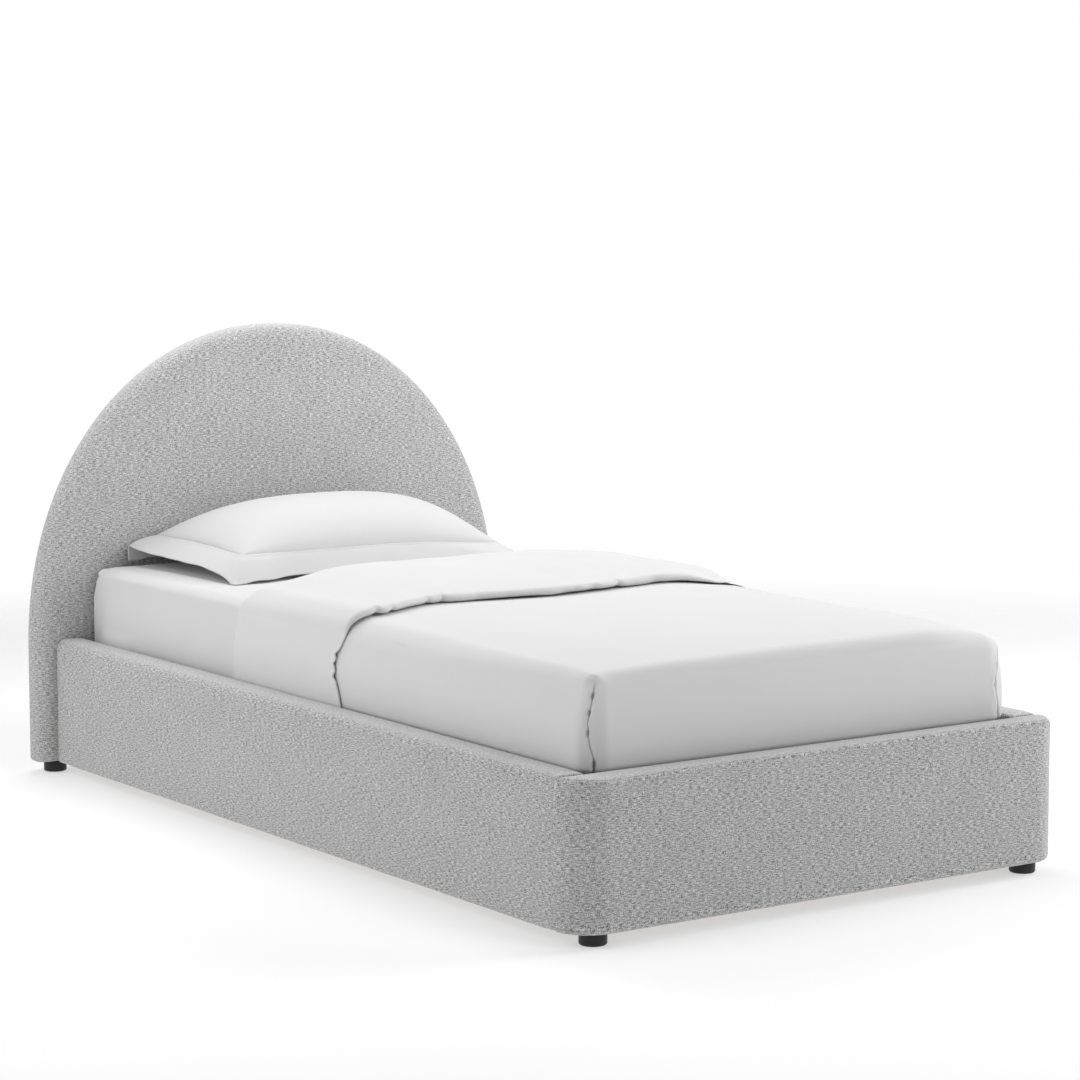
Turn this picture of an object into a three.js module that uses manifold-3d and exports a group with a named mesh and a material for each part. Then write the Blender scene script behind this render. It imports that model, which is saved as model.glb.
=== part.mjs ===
// Upholstered platform bed with an arched headboard, made up with a mattress, sheet, duvet and pillow.
// Millimetres, +Z up, +Y towards the headboard, origin on the floor under the middle of the bed.
import * as THREE from 'three';
import { mergeVertices } from 'three/addons/utils/BufferGeometryUtils.js';
import Module from 'manifold-3d';

const wasm = await Module();
wasm.setup();

// ---- driving dimensions ----
const BED_LENGTH = 2125;
const RAIL_SPAN = 1170; // outside of one side rail to outside of the other
const RAIL_BOTTOM = 25;
const RAIL_TOP = 305;
const SIDE_RAIL_THICKNESS = 70;
const FOOT_RAIL_THICKNESS = 75;
const FOOT_CORNER_RADIUS = 74;
const HEADBOARD_WIDTH = 1255;
const HEADBOARD_HEIGHT = 1005;
const HEADBOARD_THICKNESS = 80;
const ARCH_SPRING_HEIGHT = 282; // where the straight sides end and the arch begins
const ARCH_EXPONENT = 2.07; // 2 is a plain half ellipse
const HEADBOARD_RIM_RADIUS = 36; // round the arch and down the sides
const HEADBOARD_BASE_RADIUS = 7; // along the bottom, which is cut nearly square
const DECK_TOP = 203; // top of the slats

const FIT_GAP = 0.3; // left between neighbouring pieces
const COVER_THICKNESS = 2.5;
const FOAM_OFFSET = COVER_THICKNESS + FIT_GAP;

// ---- planes that follow from them ----
const HALF_SPAN = RAIL_SPAN / 2;
const RAIL_INNER_X = HALF_SPAN - SIDE_RAIL_THICKNESS;
const HEADBOARD_BACK = BED_LENGTH / 2;
const HEADBOARD_FRONT = HEADBOARD_BACK - HEADBOARD_THICKNESS;
const FOOT_FRONT = -BED_LENGTH / 2;
const FOOT_INNER = FOOT_FRONT + FOOT_RAIL_THICKNESS;

// ---- headboard inside ----
const HEADBOARD_FOAM_DEPTH = 19;
const HEADBOARD_BOARD_DEPTH = 15;
const HEADBOARD_BOARD_FRONT = HEADBOARD_FRONT + FOAM_OFFSET + HEADBOARD_FOAM_DEPTH + FIT_GAP;
const HEADBOARD_FRAME_FRONT = HEADBOARD_BOARD_FRONT + HEADBOARD_BOARD_DEPTH + FIT_GAP;
const HEADBOARD_FRAME_BACK = 1055;
const HEADBOARD_HOLLOW_INSET = 42; // rim of foam around the timber frame
const POST_INNER_X = 462;
const POST_OUTER_X = 512;
const POST_BOTTOM = 70;
const POST_TOP = 600;
const CROSS_RAIL_HEIGHT = 60;

// ---- rails inside ----
const RAIL_BOARD_INSET = 14;
const RAIL_BOARD_THICKNESS = SIDE_RAIL_THICKNESS - 2 * RAIL_BOARD_INSET;
const FOOT_BOARD_INSET = 17.5;
const FOOT_BOARD_HALF_LENGTH = 505;
const FOOT_BLOCK_RADIUS = 38;

// ---- slats, beam and legs ----
const SLAT_COUNT = 13;
const SLAT_WIDTH = 80;
const SLAT_THICKNESS = 18;
const SLAT_END_MARGIN = 25;
const LEDGER_WIDTH = 25;
const LEDGER_HEIGHT = 40;
const BEAM_WIDTH = 40;
const BEAM_HEIGHT = 60;
const SADDLE_DEPTH = 40;
const STEEL_THICKNESS = 3;
const LEG_RADIUS = 19;
const LEG_GLIDE_RADIUS = 28;
const LEG_SPACING = 660;

// ---- corner brackets and bolts ----
const BRACKET_LEG = 48;
const BRACKET_BOTTOM = 52;
const BRACKET_TOP = 132;
const BOLT_HEIGHT = 92;
const BOLT_OFFSET = 28; // from the inside corner
const BOLT_RADIUS = 4;
const BOLT_LENGTH = 46;
const BOLT_HEAD_RADIUS = 7.5;
const BOLT_HEAD_HEIGHT = 4.5;
const BOLT_HOLE_RADIUS = 4.4;

// ---- feet ----
const FOOT_PAD_RADIUS = 26;
const FOOT_PAD_EDGE = 4;
const FRONT_FOOT_SIDE_INSET = 67;
const FRONT_FOOT_FACE_INSET = 46;
const HEADBOARD_FOOT_INSET = 56;

// ---- mattress and bedding ----
const MATTRESS_WIDTH = 985;
const MATTRESS_LENGTH = 1920;
const MATTRESS_HEIGHT = 262.5;
const MATTRESS_HEAD_GAP = 3;
const SHEET_THICKNESS = 1.7;
const DUVET_TOP = 479;
const DUVET_HEM = 250;
const DUVET_HALF_WIDTH = 506;
const DUVET_FRONT = -984;
const DUVET_CORNER_RADIUS = 42;
const DUVET_REAR = 290;
const DUVET_FOLD_FRONT = -125;
const DUVET_FOLD_TOP = 520;
const DUVET_FOLD_HALF_WIDTH = 508;
const PILLOW_HALF_WIDTH = 330;
const PILLOW_FRONT = 545;
const PILLOW_REAR = 960;
const PILLOW_SEAM_HEIGHT = 532;
const PILLOW_RISE = 90;
const PILLOW_DROP = 63.5;
const SHAM_FLANGE = 50;
const SHAM_FLANGE_THICKNESS = 3;
const SHAM_REAR = 976;

// ---- colours ----
const WEAVE_GREY = 0xb4b4b4;
const FOAM_CREAM = 0xe8dfc4;
const TIMBER = 0xc9a26b;
const PLYWOOD = 0xb98d58;
const LINING_GREY = 0x6a6a6a;
const FOOT_BLACK = 0x141414;
const STEEL_GREY = 0x8b8f93;
const BEDDING_WHITE = 0xf2f2f2;
const TICKING_WHITE = 0xe6e4df;

const bed = new THREE.Group();
bed.name = 'arched_upholstered_bed';

// ---- placing an outline drawn in (u, v) and raised by h ----
const ALONG_Z = (u, v, h) => [u, v, h];
const ALONG_Y = (u, v, h) => [v, h, u];
const TOWARDS_FOOT = (u, v, h) => [u, -h, v];

function addPiece(name, geometry, color, roughness = 0.9, metalness = 0) {
  const material = new THREE.MeshStandardMaterial({ color, roughness, metalness });
  const mesh = new THREE.Mesh(geometry, material);
  mesh.name = name;
  bed.add(mesh);
}

// Joins rings of equal length into one closed solid. Rings run anticlockwise, lowest first.
function loft(rings, place) {
  const count = rings[0].points.length;
  const positions = rings.flatMap((ring) =>
    ring.points.flatMap(([u, v]) => place(u, v, ring.height)));
  const faces = [];
  for (let r = 0; r + 1 < rings.length; r += 1) {
    for (let i = 0; i < count; i += 1) {
      const next = (i + 1) % count;
      const low = r * count;
      const high = low + count;
      faces.push(low + i, low + next, high + next);
      faces.push(low + i, high + next, high + i);
    }
  }
  const lid = (ring) => THREE.ShapeUtils.triangulateShape(
    ring.points.map(([u, v]) => new THREE.Vector2(u, v)), []);
  const top = (rings.length - 1) * count;
  lid(rings[0]).forEach(([a, b, c]) => faces.push(a, c, b));
  lid(rings.at(-1)).forEach(([a, b, c]) => faces.push(top + a, top + b, top + c));
  const geometry = new THREE.BufferGeometry();
  geometry.setAttribute('position', new THREE.Float32BufferAttribute(positions, 3));
  geometry.setIndex(faces);
  geometry.computeVertexNormals();
  return geometry;
}

// A solid whose outline shrinks near both ends, so that its end edges are rounded.
function roundedLoft(outlineAt, low, high, lowRadius, highRadius, steps, place) {
  const rings = [];
  for (let i = 0; i <= steps; i += 1) {
    const turn = (i / steps) * (Math.PI / 2);
    rings.push({
      points: outlineAt(lowRadius * (1 - Math.sin(turn))),
      height: low + lowRadius * (1 - Math.cos(turn)),
    });
  }
  for (let i = 0; i <= steps; i += 1) {
    const turn = (i / steps) * (Math.PI / 2);
    rings.push({
      points: outlineAt(highRadius * (1 - Math.cos(turn))),
      height: high - highRadius * (1 - Math.sin(turn)),
    });
  }
  return loft(rings, place);
}

function slab(points, low, high, place) {
  return loft([{ points, height: low }, { points, height: high }], place);
}

// Rectangle with its own radius at each corner: low u low v, high u low v, high u high v, low u high v.
function roundedRectangle(lowU, highU, lowV, highV, radii, steps = 4) {
  const corners = [
    [lowU, lowV, 1, 1, Math.PI],
    [highU, lowV, -1, 1, 1.5 * Math.PI],
    [highU, highV, -1, -1, 0],
    [lowU, highV, 1, -1, 0.5 * Math.PI],
  ];
  return corners.flatMap(([u, v, towardsU, towardsV, start], corner) => {
    const radius = Math.max(radii[corner], 0.4);
    return Array.from({ length: steps + 1 }, (_, i) => {
      const angle = start + (i / steps) * (Math.PI / 2);
      return [
        u + towardsU * radius + radius * Math.cos(angle),
        v + towardsV * radius + radius * Math.sin(angle),
      ];
    });
  });
}

function box(lowX, highX, lowY, highY, lowZ, highZ) {
  const geometry = new THREE.BoxGeometry(highX - lowX, highY - lowY, highZ - lowZ);
  geometry.translate((lowX + highX) / 2, (lowY + highY) / 2, (lowZ + highZ) / 2);
  return geometry;
}

function mirrored(geometry) {
  const copy = geometry.clone();
  copy.scale(-1, 1, 1);
  const index = copy.index.array;
  for (let i = 0; i < index.length; i += 3) {
    [index[i], index[i + 1]] = [index[i + 1], index[i]];
  }
  copy.computeVertexNormals();
  return copy;
}

function addPair(name, rightGeometry, color, roughness, metalness) {
  addPiece(`${name}_right`, rightGeometry, color, roughness, metalness);
  addPiece(`${name}_left`, mirrored(rightGeometry), color, roughness, metalness);
}

// ---- joining and cutting solids ----
function toManifold(geometry) {
  const plain = geometry.clone();
  plain.deleteAttribute('normal');
  plain.deleteAttribute('uv');
  const merged = mergeVertices(plain, 1e-4);
  return new wasm.Manifold(new wasm.Mesh({
    numProp: 3,
    vertProperties: new Float32Array(merged.attributes.position.array),
    triVerts: new Uint32Array(merged.index.array),
  }));
}

function fromManifold(solid) {
  const mesh = solid.getMesh();
  const geometry = new THREE.BufferGeometry();
  geometry.setAttribute('position', new THREE.BufferAttribute(mesh.vertProperties, 3));
  geometry.setIndex(new THREE.BufferAttribute(mesh.triVerts, 1));
  geometry.computeVertexNormals();
  return geometry;
}

function cut(body, tools) {
  const result = tools.reduce((solid, tool) => solid.subtract(toManifold(tool)), toManifold(body));
  return fromManifold(result);
}

function join(parts) {
  return fromManifold(parts.slice(1).reduce(
    (solid, part) => solid.add(toManifold(part)), toManifold(parts[0])));
}

// ---- bolts at the inside corners, for the right-hand side ----
const BOLT_CORNERS = [
  { end: 'head', faceY: HEADBOARD_FRONT, outwards: 1 },
  { end: 'foot', faceY: FOOT_INNER, outwards: -1 },
];

function drillAcross(y) {
  const drill = new THREE.CylinderGeometry(BOLT_HOLE_RADIUS, BOLT_HOLE_RADIUS, BOLT_LENGTH + 12, 12);
  drill.rotateZ(Math.PI / 2);
  drill.translate(RAIL_INNER_X - 10 + (BOLT_LENGTH + 12) / 2, y, BOLT_HEIGHT);
  return drill;
}

function drillAlong(faceY, outwards) {
  const drill = new THREE.CylinderGeometry(BOLT_HOLE_RADIUS, BOLT_HOLE_RADIUS, BOLT_LENGTH + 12, 12);
  drill.translate(RAIL_INNER_X - BOLT_OFFSET, 0, BOLT_HEIGHT);
  const middle = faceY + outwards * ((BOLT_LENGTH + 12) / 2 - 10);
  drill.applyMatrix4(new THREE.Matrix4().makeTranslation(0, middle, 0));
  return drill;
}

const railDrills = BOLT_CORNERS.map(({ faceY, outwards }) =>
  drillAcross(faceY - outwards * BOLT_OFFSET));
const headDrillRight = drillAlong(HEADBOARD_FRONT, 1);
const footDrillRight = drillAlong(FOOT_INNER, -1);
const headDrills = [headDrillRight, mirrored(headDrillRight)];
const footDrills = [footDrillRight, mirrored(footDrillRight)];

// ---- headboard ----
// inset moves the whole outline inwards. rim is a step round the rim's edge, smaller along the bottom.
function archOutline(inset, rim = 0) {
  const half = HEADBOARD_WIDTH / 2 - inset - rim;
  const rise = HEADBOARD_HEIGHT - ARCH_SPRING_HEIGHT - inset - rim;
  const bottom = RAIL_BOTTOM + inset + rim * (HEADBOARD_BASE_RADIUS / HEADBOARD_RIM_RADIUS);
  const corner = Math.max(10 - inset, 0.5);
  const points = [];
  for (let i = 0; i <= 3; i += 1) {
    const angle = Math.PI + (i / 3) * (Math.PI / 2);
    points.push([-half + corner + corner * Math.cos(angle), bottom + corner + corner * Math.sin(angle)]);
  }
  for (let i = 0; i <= 3; i += 1) {
    const angle = 1.5 * Math.PI + (i / 3) * (Math.PI / 2);
    points.push([half - corner + corner * Math.cos(angle), bottom + corner + corner * Math.sin(angle)]);
  }
  const steps = 60;
  const power = 2 / ARCH_EXPONENT;
  for (let i = 0; i <= steps; i += 1) {
    const angle = (i / steps) * Math.PI;
    const across = Math.sign(Math.cos(angle)) * Math.abs(Math.cos(angle)) ** power;
    const up = Math.abs(Math.sin(angle)) ** power;
    points.push([half * across, ARCH_SPRING_HEIGHT + rise * up]);
  }
  return points;
}

function archSlab(inset, front, back) {
  return slab(archOutline(inset), -back, -front, TOWARDS_FOOT);
}

function roundedArch(inset, steps) {
  const radius = HEADBOARD_RIM_RADIUS - inset;
  const outline = (rim) => archOutline(inset, rim);
  const back = -HEADBOARD_BACK + inset;
  const front = -HEADBOARD_FRONT - inset;
  return roundedLoft(outline, back, front, radius, radius, steps, TOWARDS_FOOT);
}

function buildHeadboard() {
  const hollow = archSlab(HEADBOARD_HOLLOW_INSET, HEADBOARD_BOARD_FRONT - FIT_GAP, HEADBOARD_BACK + 5);
  const cover = cut(roundedArch(0, 5), [
    roundedArch(COVER_THICKNESS, 4),
    archSlab(HEADBOARD_HOLLOW_INSET, HEADBOARD_FRAME_FRONT, HEADBOARD_BACK + 5),
    ...headDrills,
  ]);
  const foam = cut(roundedArch(FOAM_OFFSET, 4), [hollow, ...headDrills]);
  addPiece('headboard_cover', cover, WEAVE_GREY);
  addPiece('headboard_foam', foam, FOAM_CREAM);

  const inner = HEADBOARD_HOLLOW_INSET + FIT_GAP;
  const board = archSlab(inner, HEADBOARD_BOARD_FRONT, HEADBOARD_BOARD_FRONT + HEADBOARD_BOARD_DEPTH);
  addPiece('headboard_board', cut(board, headDrills), PLYWOOD, 0.7);

  const post = cut(
    box(POST_INNER_X, POST_OUTER_X, HEADBOARD_FRAME_FRONT, HEADBOARD_FRAME_BACK, POST_BOTTOM, POST_TOP),
    [headDrillRight]);
  addPair('headboard_post', post, TIMBER, 0.7);
  [['lower', POST_BOTTOM], ['upper', POST_TOP - CROSS_RAIL_HEIGHT]].forEach(([place, bottom]) => {
    const reach = POST_INNER_X - FIT_GAP;
    const rail = box(-reach, reach, HEADBOARD_FRAME_FRONT, HEADBOARD_FRAME_BACK,
      bottom, bottom + CROSS_RAIL_HEIGHT);
    addPiece(`headboard_cross_rail_${place}`, rail, TIMBER, 0.7);
  });
  const backPanel = archSlab(inner, HEADBOARD_FRAME_BACK + FIT_GAP, HEADBOARD_BACK);
  addPiece('headboard_back_panel', backPanel, LINING_GREY);
}

// ---- side rails ----
function railOutline(inset) {
  const radii = [10, 16, 24, 12].map((radius) => Math.max(radius - inset, 1));
  // u is height and v is sideways, so the corners run: inner bottom, inner top, outer top, outer bottom
  return roundedRectangle(RAIL_BOTTOM + inset, RAIL_TOP - inset, RAIL_INNER_X + inset, HALF_SPAN - inset, radii);
}

function buildSideRails() {
  const low = FOOT_INNER + FIT_GAP;
  const high = HEADBOARD_FRONT - FIT_GAP;
  const past = 5;
  const railSlab = (inset, extra) => slab(railOutline(inset), low - extra, high + extra, ALONG_Y);
  const cover = cut(railSlab(0, 0), [railSlab(COVER_THICKNESS, past), ...railDrills]);
  addPair('side_rail_cover', cover, WEAVE_GREY);

  const boardLow = RAIL_INNER_X + RAIL_BOARD_INSET;
  const boardHigh = boardLow + RAIL_BOARD_THICKNESS;
  const bottom = RAIL_BOTTOM + RAIL_BOARD_INSET;
  const top = RAIL_TOP - RAIL_BOARD_INSET;
  const core = box(boardLow - FIT_GAP, boardHigh + FIT_GAP, low - past, high + past,
    bottom - FIT_GAP, top + FIT_GAP);
  const foam = cut(railSlab(FOAM_OFFSET, 0), [core, ...railDrills]);
  addPair('side_rail_foam', foam, FOAM_CREAM);

  const board = cut(box(boardLow, boardHigh, low, high, bottom, top), railDrills);
  addPair('side_rail_board', board, TIMBER, 0.7);

  const ledgerTop = DECK_TOP - SLAT_THICKNESS - FIT_GAP;
  const ledger = box(RAIL_INNER_X - FIT_GAP - LEDGER_WIDTH, RAIL_INNER_X - FIT_GAP,
    FOOT_INNER + 10, HEADBOARD_FRONT - 10, ledgerTop - LEDGER_HEIGHT, ledgerTop);
  addPair('slat_ledger', ledger, TIMBER, 0.7);
}

// ---- foot rail, which turns both rounded corners ----
function footOutline(inset) {
  const corner = FOOT_CORNER_RADIUS - 2 * inset;
  return roundedRectangle(-HALF_SPAN + inset, HALF_SPAN - inset, FOOT_FRONT + inset, FOOT_INNER - inset,
    [corner, corner, 0.4, 0.4], 8);
}

function footCoreOutline(inset) {
  const corner = FOOT_BLOCK_RADIUS - inset;
  return roundedRectangle(-HALF_SPAN + inset, HALF_SPAN - inset, FOOT_FRONT + inset, FOOT_INNER - inset,
    [corner, corner, 1, 1], 6);
}

function buildFootRail() {
  const topEdge = 12;
  const bottomEdge = 8;
  const wrapped = (inset) => roundedLoft(
    (extra) => footOutline(inset + extra),
    RAIL_BOTTOM + inset, RAIL_TOP - inset, bottomEdge - inset, topEdge - inset, 3, ALONG_Z);
  const below = RAIL_BOTTOM - 5;
  const mouth = slab(footCoreOutline(FOOT_BOARD_INSET - FIT_GAP), below, RAIL_BOTTOM + 20, ALONG_Z);
  const cover = cut(wrapped(0), [wrapped(COVER_THICKNESS), mouth, ...footDrills]);
  addPiece('foot_rail_cover', cover, WEAVE_GREY);

  const bottom = RAIL_BOTTOM + 3;
  const top = RAIL_TOP - FOOT_BOARD_INSET;
  const pocket = slab(footCoreOutline(FOOT_BOARD_INSET - FIT_GAP), below, top + FIT_GAP, ALONG_Z);
  const foam = cut(wrapped(FOAM_OFFSET), [pocket, ...footDrills]);
  addPiece('foot_rail_foam', foam, FOAM_CREAM);

  const core = slab(footCoreOutline(FOOT_BOARD_INSET), bottom, top, ALONG_Z);
  const reach = FOOT_BOARD_HALF_LENGTH;
  const clear = 300;
  const board = fromManifold(toManifold(core).intersect(
    toManifold(box(-reach, reach, FOOT_FRONT, FOOT_INNER, 0, clear))));
  addPiece('foot_rail_board', cut(board, footDrills), TIMBER, 0.7);
  const block = fromManifold(toManifold(core).intersect(
    toManifold(box(reach + FIT_GAP, HALF_SPAN, FOOT_FRONT, FOOT_INNER, 0, clear))));
  addPair('foot_corner_block', block, PLYWOOD, 0.7);
}

// ---- corner brackets and their bolts ----
function boltAlongY() {
  const profile = [
    [0, -BOLT_HEAD_HEIGHT], [BOLT_HEAD_RADIUS - 1.5, -BOLT_HEAD_HEIGHT],
    [BOLT_HEAD_RADIUS, -BOLT_HEAD_HEIGHT + 2], [BOLT_HEAD_RADIUS, 0],
    [BOLT_RADIUS, 0], [BOLT_RADIUS, BOLT_LENGTH], [0, BOLT_LENGTH],
  ].map(([radius, along]) => new THREE.Vector2(radius, along));
  return new THREE.LatheGeometry(profile, 12);
}

function buildCornerHardware() {
  BOLT_CORNERS.forEach(({ end, faceY, outwards }) => {
    const railFace = RAIL_INNER_X - FIT_GAP;
    const endFace = faceY - outwards * FIT_GAP;
    const back = endFace - outwards * STEEL_THICKNESS;
    const tip = endFace - outwards * BRACKET_LEG;
    const alongRail = box(railFace - STEEL_THICKNESS, railFace, Math.min(endFace, tip), Math.max(endFace, tip),
      BRACKET_BOTTOM, BRACKET_TOP);
    const acrossEnd = box(railFace - BRACKET_LEG, railFace, Math.min(endFace, back), Math.max(endFace, back),
      BRACKET_BOTTOM, BRACKET_TOP);
    const drills = [drillAcross(faceY - outwards * BOLT_OFFSET), drillAlong(faceY, outwards)];
    addPair(`corner_bracket_${end}`, cut(join([alongRail, acrossEnd]), drills), STEEL_GREY, 0.4, 0.8);

    const headSeat = STEEL_THICKNESS + 2 * FIT_GAP;
    const endBolt = boltAlongY();
    endBolt.rotateX(outwards > 0 ? 0 : Math.PI);
    endBolt.translate(RAIL_INNER_X - BOLT_OFFSET, faceY - outwards * headSeat, BOLT_HEIGHT);
    addPair(`${end}_bolt`, endBolt, STEEL_GREY, 0.35, 0.9);

    const railBolt = boltAlongY();
    railBolt.rotateZ(-Math.PI / 2);
    railBolt.translate(RAIL_INNER_X - headSeat, faceY - outwards * BOLT_OFFSET, BOLT_HEIGHT);
    addPair(`${end}_rail_bolt`, railBolt, STEEL_GREY, 0.35, 0.9);
  });
}

// ---- slats, centre beam, saddles and legs ----
function buildDeck() {
  const slatTop = DECK_TOP - FIT_GAP;
  const slatBottom = DECK_TOP - SLAT_THICKNESS;
  const first = FOOT_INNER + SLAT_END_MARGIN + SLAT_WIDTH / 2;
  const last = HEADBOARD_FRONT - SLAT_END_MARGIN - SLAT_WIDTH / 2;
  const pitch = (last - first) / (SLAT_COUNT - 1);
  const reach = RAIL_INNER_X - 4;
  for (let i = 0; i < SLAT_COUNT; i += 1) {
    const middle = first + i * pitch;
    const slat = box(-reach, reach, middle - SLAT_WIDTH / 2, middle + SLAT_WIDTH / 2, slatBottom, slatTop);
    addPiece(`slat_${String(i + 1).padStart(2, '0')}`, slat, TIMBER, 0.7);
  }

  const beamTop = slatBottom - FIT_GAP;
  const beamBottom = beamTop - BEAM_HEIGHT;
  const half = BEAM_WIDTH / 2;
  const beam = box(-half, half, FOOT_INNER + 5, HEADBOARD_FRONT - 5, beamBottom, beamTop);
  addPiece('centre_beam', beam, TIMBER, 0.7);

  [['head', HEADBOARD_FRONT, 1], ['foot', FOOT_INNER, -1]].forEach(([end, faceY, outwards]) => {
    const face = faceY - outwards * FIT_GAP;
    const tip = face - outwards * SADDLE_DEPTH;
    const past = faceY - outwards * (STEEL_THICKNESS + 1);
    const farTip = tip - outwards * 5;
    const outer = box(-half - STEEL_THICKNESS - FIT_GAP, half + STEEL_THICKNESS + FIT_GAP,
      Math.min(face, tip), Math.max(face, tip), beamBottom - STEEL_THICKNESS - FIT_GAP, beamTop - 8);
    const seat = box(-half - FIT_GAP, half + FIT_GAP,
      Math.min(past, farTip), Math.max(past, farTip), beamBottom - FIT_GAP, beamTop + 5);
    addPiece(`beam_saddle_${end}`, cut(outer, [seat]), STEEL_GREY, 0.4, 0.8);
  });

  const legTop = beamBottom - FIT_GAP;
  const legProfile = [
    [0, 0], [LEG_GLIDE_RADIUS - 2, 0], [LEG_GLIDE_RADIUS, 2], [LEG_GLIDE_RADIUS, 8],
    [LEG_RADIUS, 16], [LEG_RADIUS, legTop], [0, legTop],
  ].map(([radius, height]) => new THREE.Vector2(radius, height));
  [['head', LEG_SPACING / 2], ['foot', -LEG_SPACING / 2]].forEach(([end, y]) => {
    const leg = new THREE.LatheGeometry(legProfile, 24);
    leg.rotateX(Math.PI / 2);
    leg.translate(0, y, 0);
    addPiece(`centre_leg_${end}`, leg, FOOT_BLACK, 0.5);
  });
}

// ---- low round feet ----
function buildFeet() {
  const top = RAIL_BOTTOM - FIT_GAP;
  const profile = [
    [0, 0], [FOOT_PAD_RADIUS - FOOT_PAD_EDGE, 0], [FOOT_PAD_RADIUS - 1.2, 1.2],
    [FOOT_PAD_RADIUS, FOOT_PAD_EDGE], [FOOT_PAD_RADIUS, top], [0, top],
  ].map(([radius, height]) => new THREE.Vector2(radius, height));
  const places = [
    ['front_foot', HALF_SPAN - FRONT_FOOT_SIDE_INSET, FOOT_FRONT + FRONT_FOOT_FACE_INSET],
    ['headboard_foot', HEADBOARD_WIDTH / 2 - HEADBOARD_FOOT_INSET, HEADBOARD_BACK - HEADBOARD_THICKNESS / 2],
  ];
  places.forEach(([name, x, y]) => {
    const pad = new THREE.LatheGeometry(profile, 32);
    pad.rotateX(Math.PI / 2);
    pad.translate(x, y, 0);
    addPair(name, pad, FOOT_BLACK, 0.5);
  });
}

// ---- mattress and bedding ----
const MATTRESS_HEAD = HEADBOARD_FRONT - MATTRESS_HEAD_GAP;
const MATTRESS_FOOT = MATTRESS_HEAD - MATTRESS_LENGTH;

function mattressBlock(grow, bottom, top, edge) {
  const half = MATTRESS_WIDTH / 2 + grow;
  const outline = (inset) => roundedRectangle(-half + inset, half - inset,
    MATTRESS_FOOT - grow + inset, MATTRESS_HEAD + grow - inset, Array(4).fill(Math.max(26 + grow - inset, 1)));
  return roundedLoft(outline, bottom, top, edge, edge, 3, ALONG_Z);
}

function duvetBlock(halfWidth, front, rear, bottom, top, edge) {
  const outline = (inset) => roundedRectangle(-halfWidth + inset, halfWidth - inset, front + inset, rear - inset,
    Array(4).fill(Math.max(DUVET_CORNER_RADIUS - inset, 1)));
  return roundedLoft(outline, bottom, top, edge / 4, edge, 3, ALONG_Z);
}

function buildMattress() {
  const top = DECK_TOP + MATTRESS_HEIGHT;
  addPiece('mattress', mattressBlock(0, DECK_TOP, top, 22), TICKING_WHITE);

  const sheetInside = FIT_GAP;
  const sheetOutside = sheetInside + SHEET_THICKNESS;
  const openBelow = DECK_TOP - 60;
  const hem = DECK_TOP + 3;
  const skirt = box(-600, 600, -1200, 1200, openBelow - 10, hem);
  const sheet = cut(mattressBlock(sheetOutside, openBelow, top + sheetOutside, 23),
    [mattressBlock(sheetInside, openBelow - 40, top + sheetInside, 22), skirt]);
  addPiece('fitted_sheet', sheet, BEDDING_WHITE);

  const inside = sheetOutside + FIT_GAP;
  const duvet = cut(join([
    duvetBlock(DUVET_HALF_WIDTH, DUVET_FRONT, DUVET_REAR, DUVET_HEM, DUVET_TOP, 22),
    duvetBlock(DUVET_FOLD_HALF_WIDTH, DUVET_FOLD_FRONT, DUVET_REAR, DUVET_HEM, DUVET_FOLD_TOP, 26),
  ]), [mattressBlock(inside, openBelow - 40, top + inside, 23)]);
  addPiece('duvet', duvet, BEDDING_WHITE);
}

// A cushion shape: flat seam outline in the middle, swelling above and below it.
function pillowBlock(inset, rise, drop) {
  const outline = (extra) => roundedRectangle(
    -PILLOW_HALF_WIDTH + inset + extra, PILLOW_HALF_WIDTH - inset - extra,
    PILLOW_FRONT + inset + extra, PILLOW_REAR - inset - extra,
    Array(4).fill(Math.min(40 + 0.5 * extra, (PILLOW_REAR - PILLOW_FRONT) / 2 - inset - extra - 1)), 3);
  const reach = 165;
  const swell = (share) => Math.sqrt(1 - (1 - share) ** 2);
  const shares = [0, 0.04, 0.13, 0.28, 0.5, 0.75, 1];
  const lower = shares.slice(1).reverse().map((share) => ({
    points: outline(reach * share), height: PILLOW_SEAM_HEIGHT - drop * swell(share),
  }));
  const upper = shares.map((share) => ({
    points: outline(reach * share), height: PILLOW_SEAM_HEIGHT + rise * swell(share),
  }));
  return loft([...lower, ...upper], ALONG_Z);
}

function buildPillow() {
  addPiece('pillow', pillowBlock(9, PILLOW_RISE - 4, PILLOW_DROP - 4), TICKING_WHITE);

  const half = SHAM_FLANGE_THICKNESS / 2;
  const flange = slab(
    roundedRectangle(-PILLOW_HALF_WIDTH - SHAM_FLANGE, PILLOW_HALF_WIDTH + SHAM_FLANGE,
      PILLOW_FRONT - SHAM_FLANGE, SHAM_REAR, Array(4).fill(12), 3),
    PILLOW_SEAM_HEIGHT - half, PILLOW_SEAM_HEIGHT + half, ALONG_Z);
  const slit = box(-230, 230, 744, 756, PILLOW_SEAM_HEIGHT - PILLOW_DROP - 10, PILLOW_SEAM_HEIGHT - 30);
  const sham = cut(join([pillowBlock(0, PILLOW_RISE, PILLOW_DROP), flange]),
    [pillowBlock(8, PILLOW_RISE - 3, PILLOW_DROP - 3), slit]);
  addPiece('pillow_sham', sham, BEDDING_WHITE);
}

buildHeadboard();
buildSideRails();
buildFootRail();
buildFeet();
buildCornerHardware();
buildDeck();
buildMattress();
buildPillow();

export default bed;
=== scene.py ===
"""Blender looks for an arched upholstered platform bed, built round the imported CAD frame. Metres."""
import math

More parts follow.
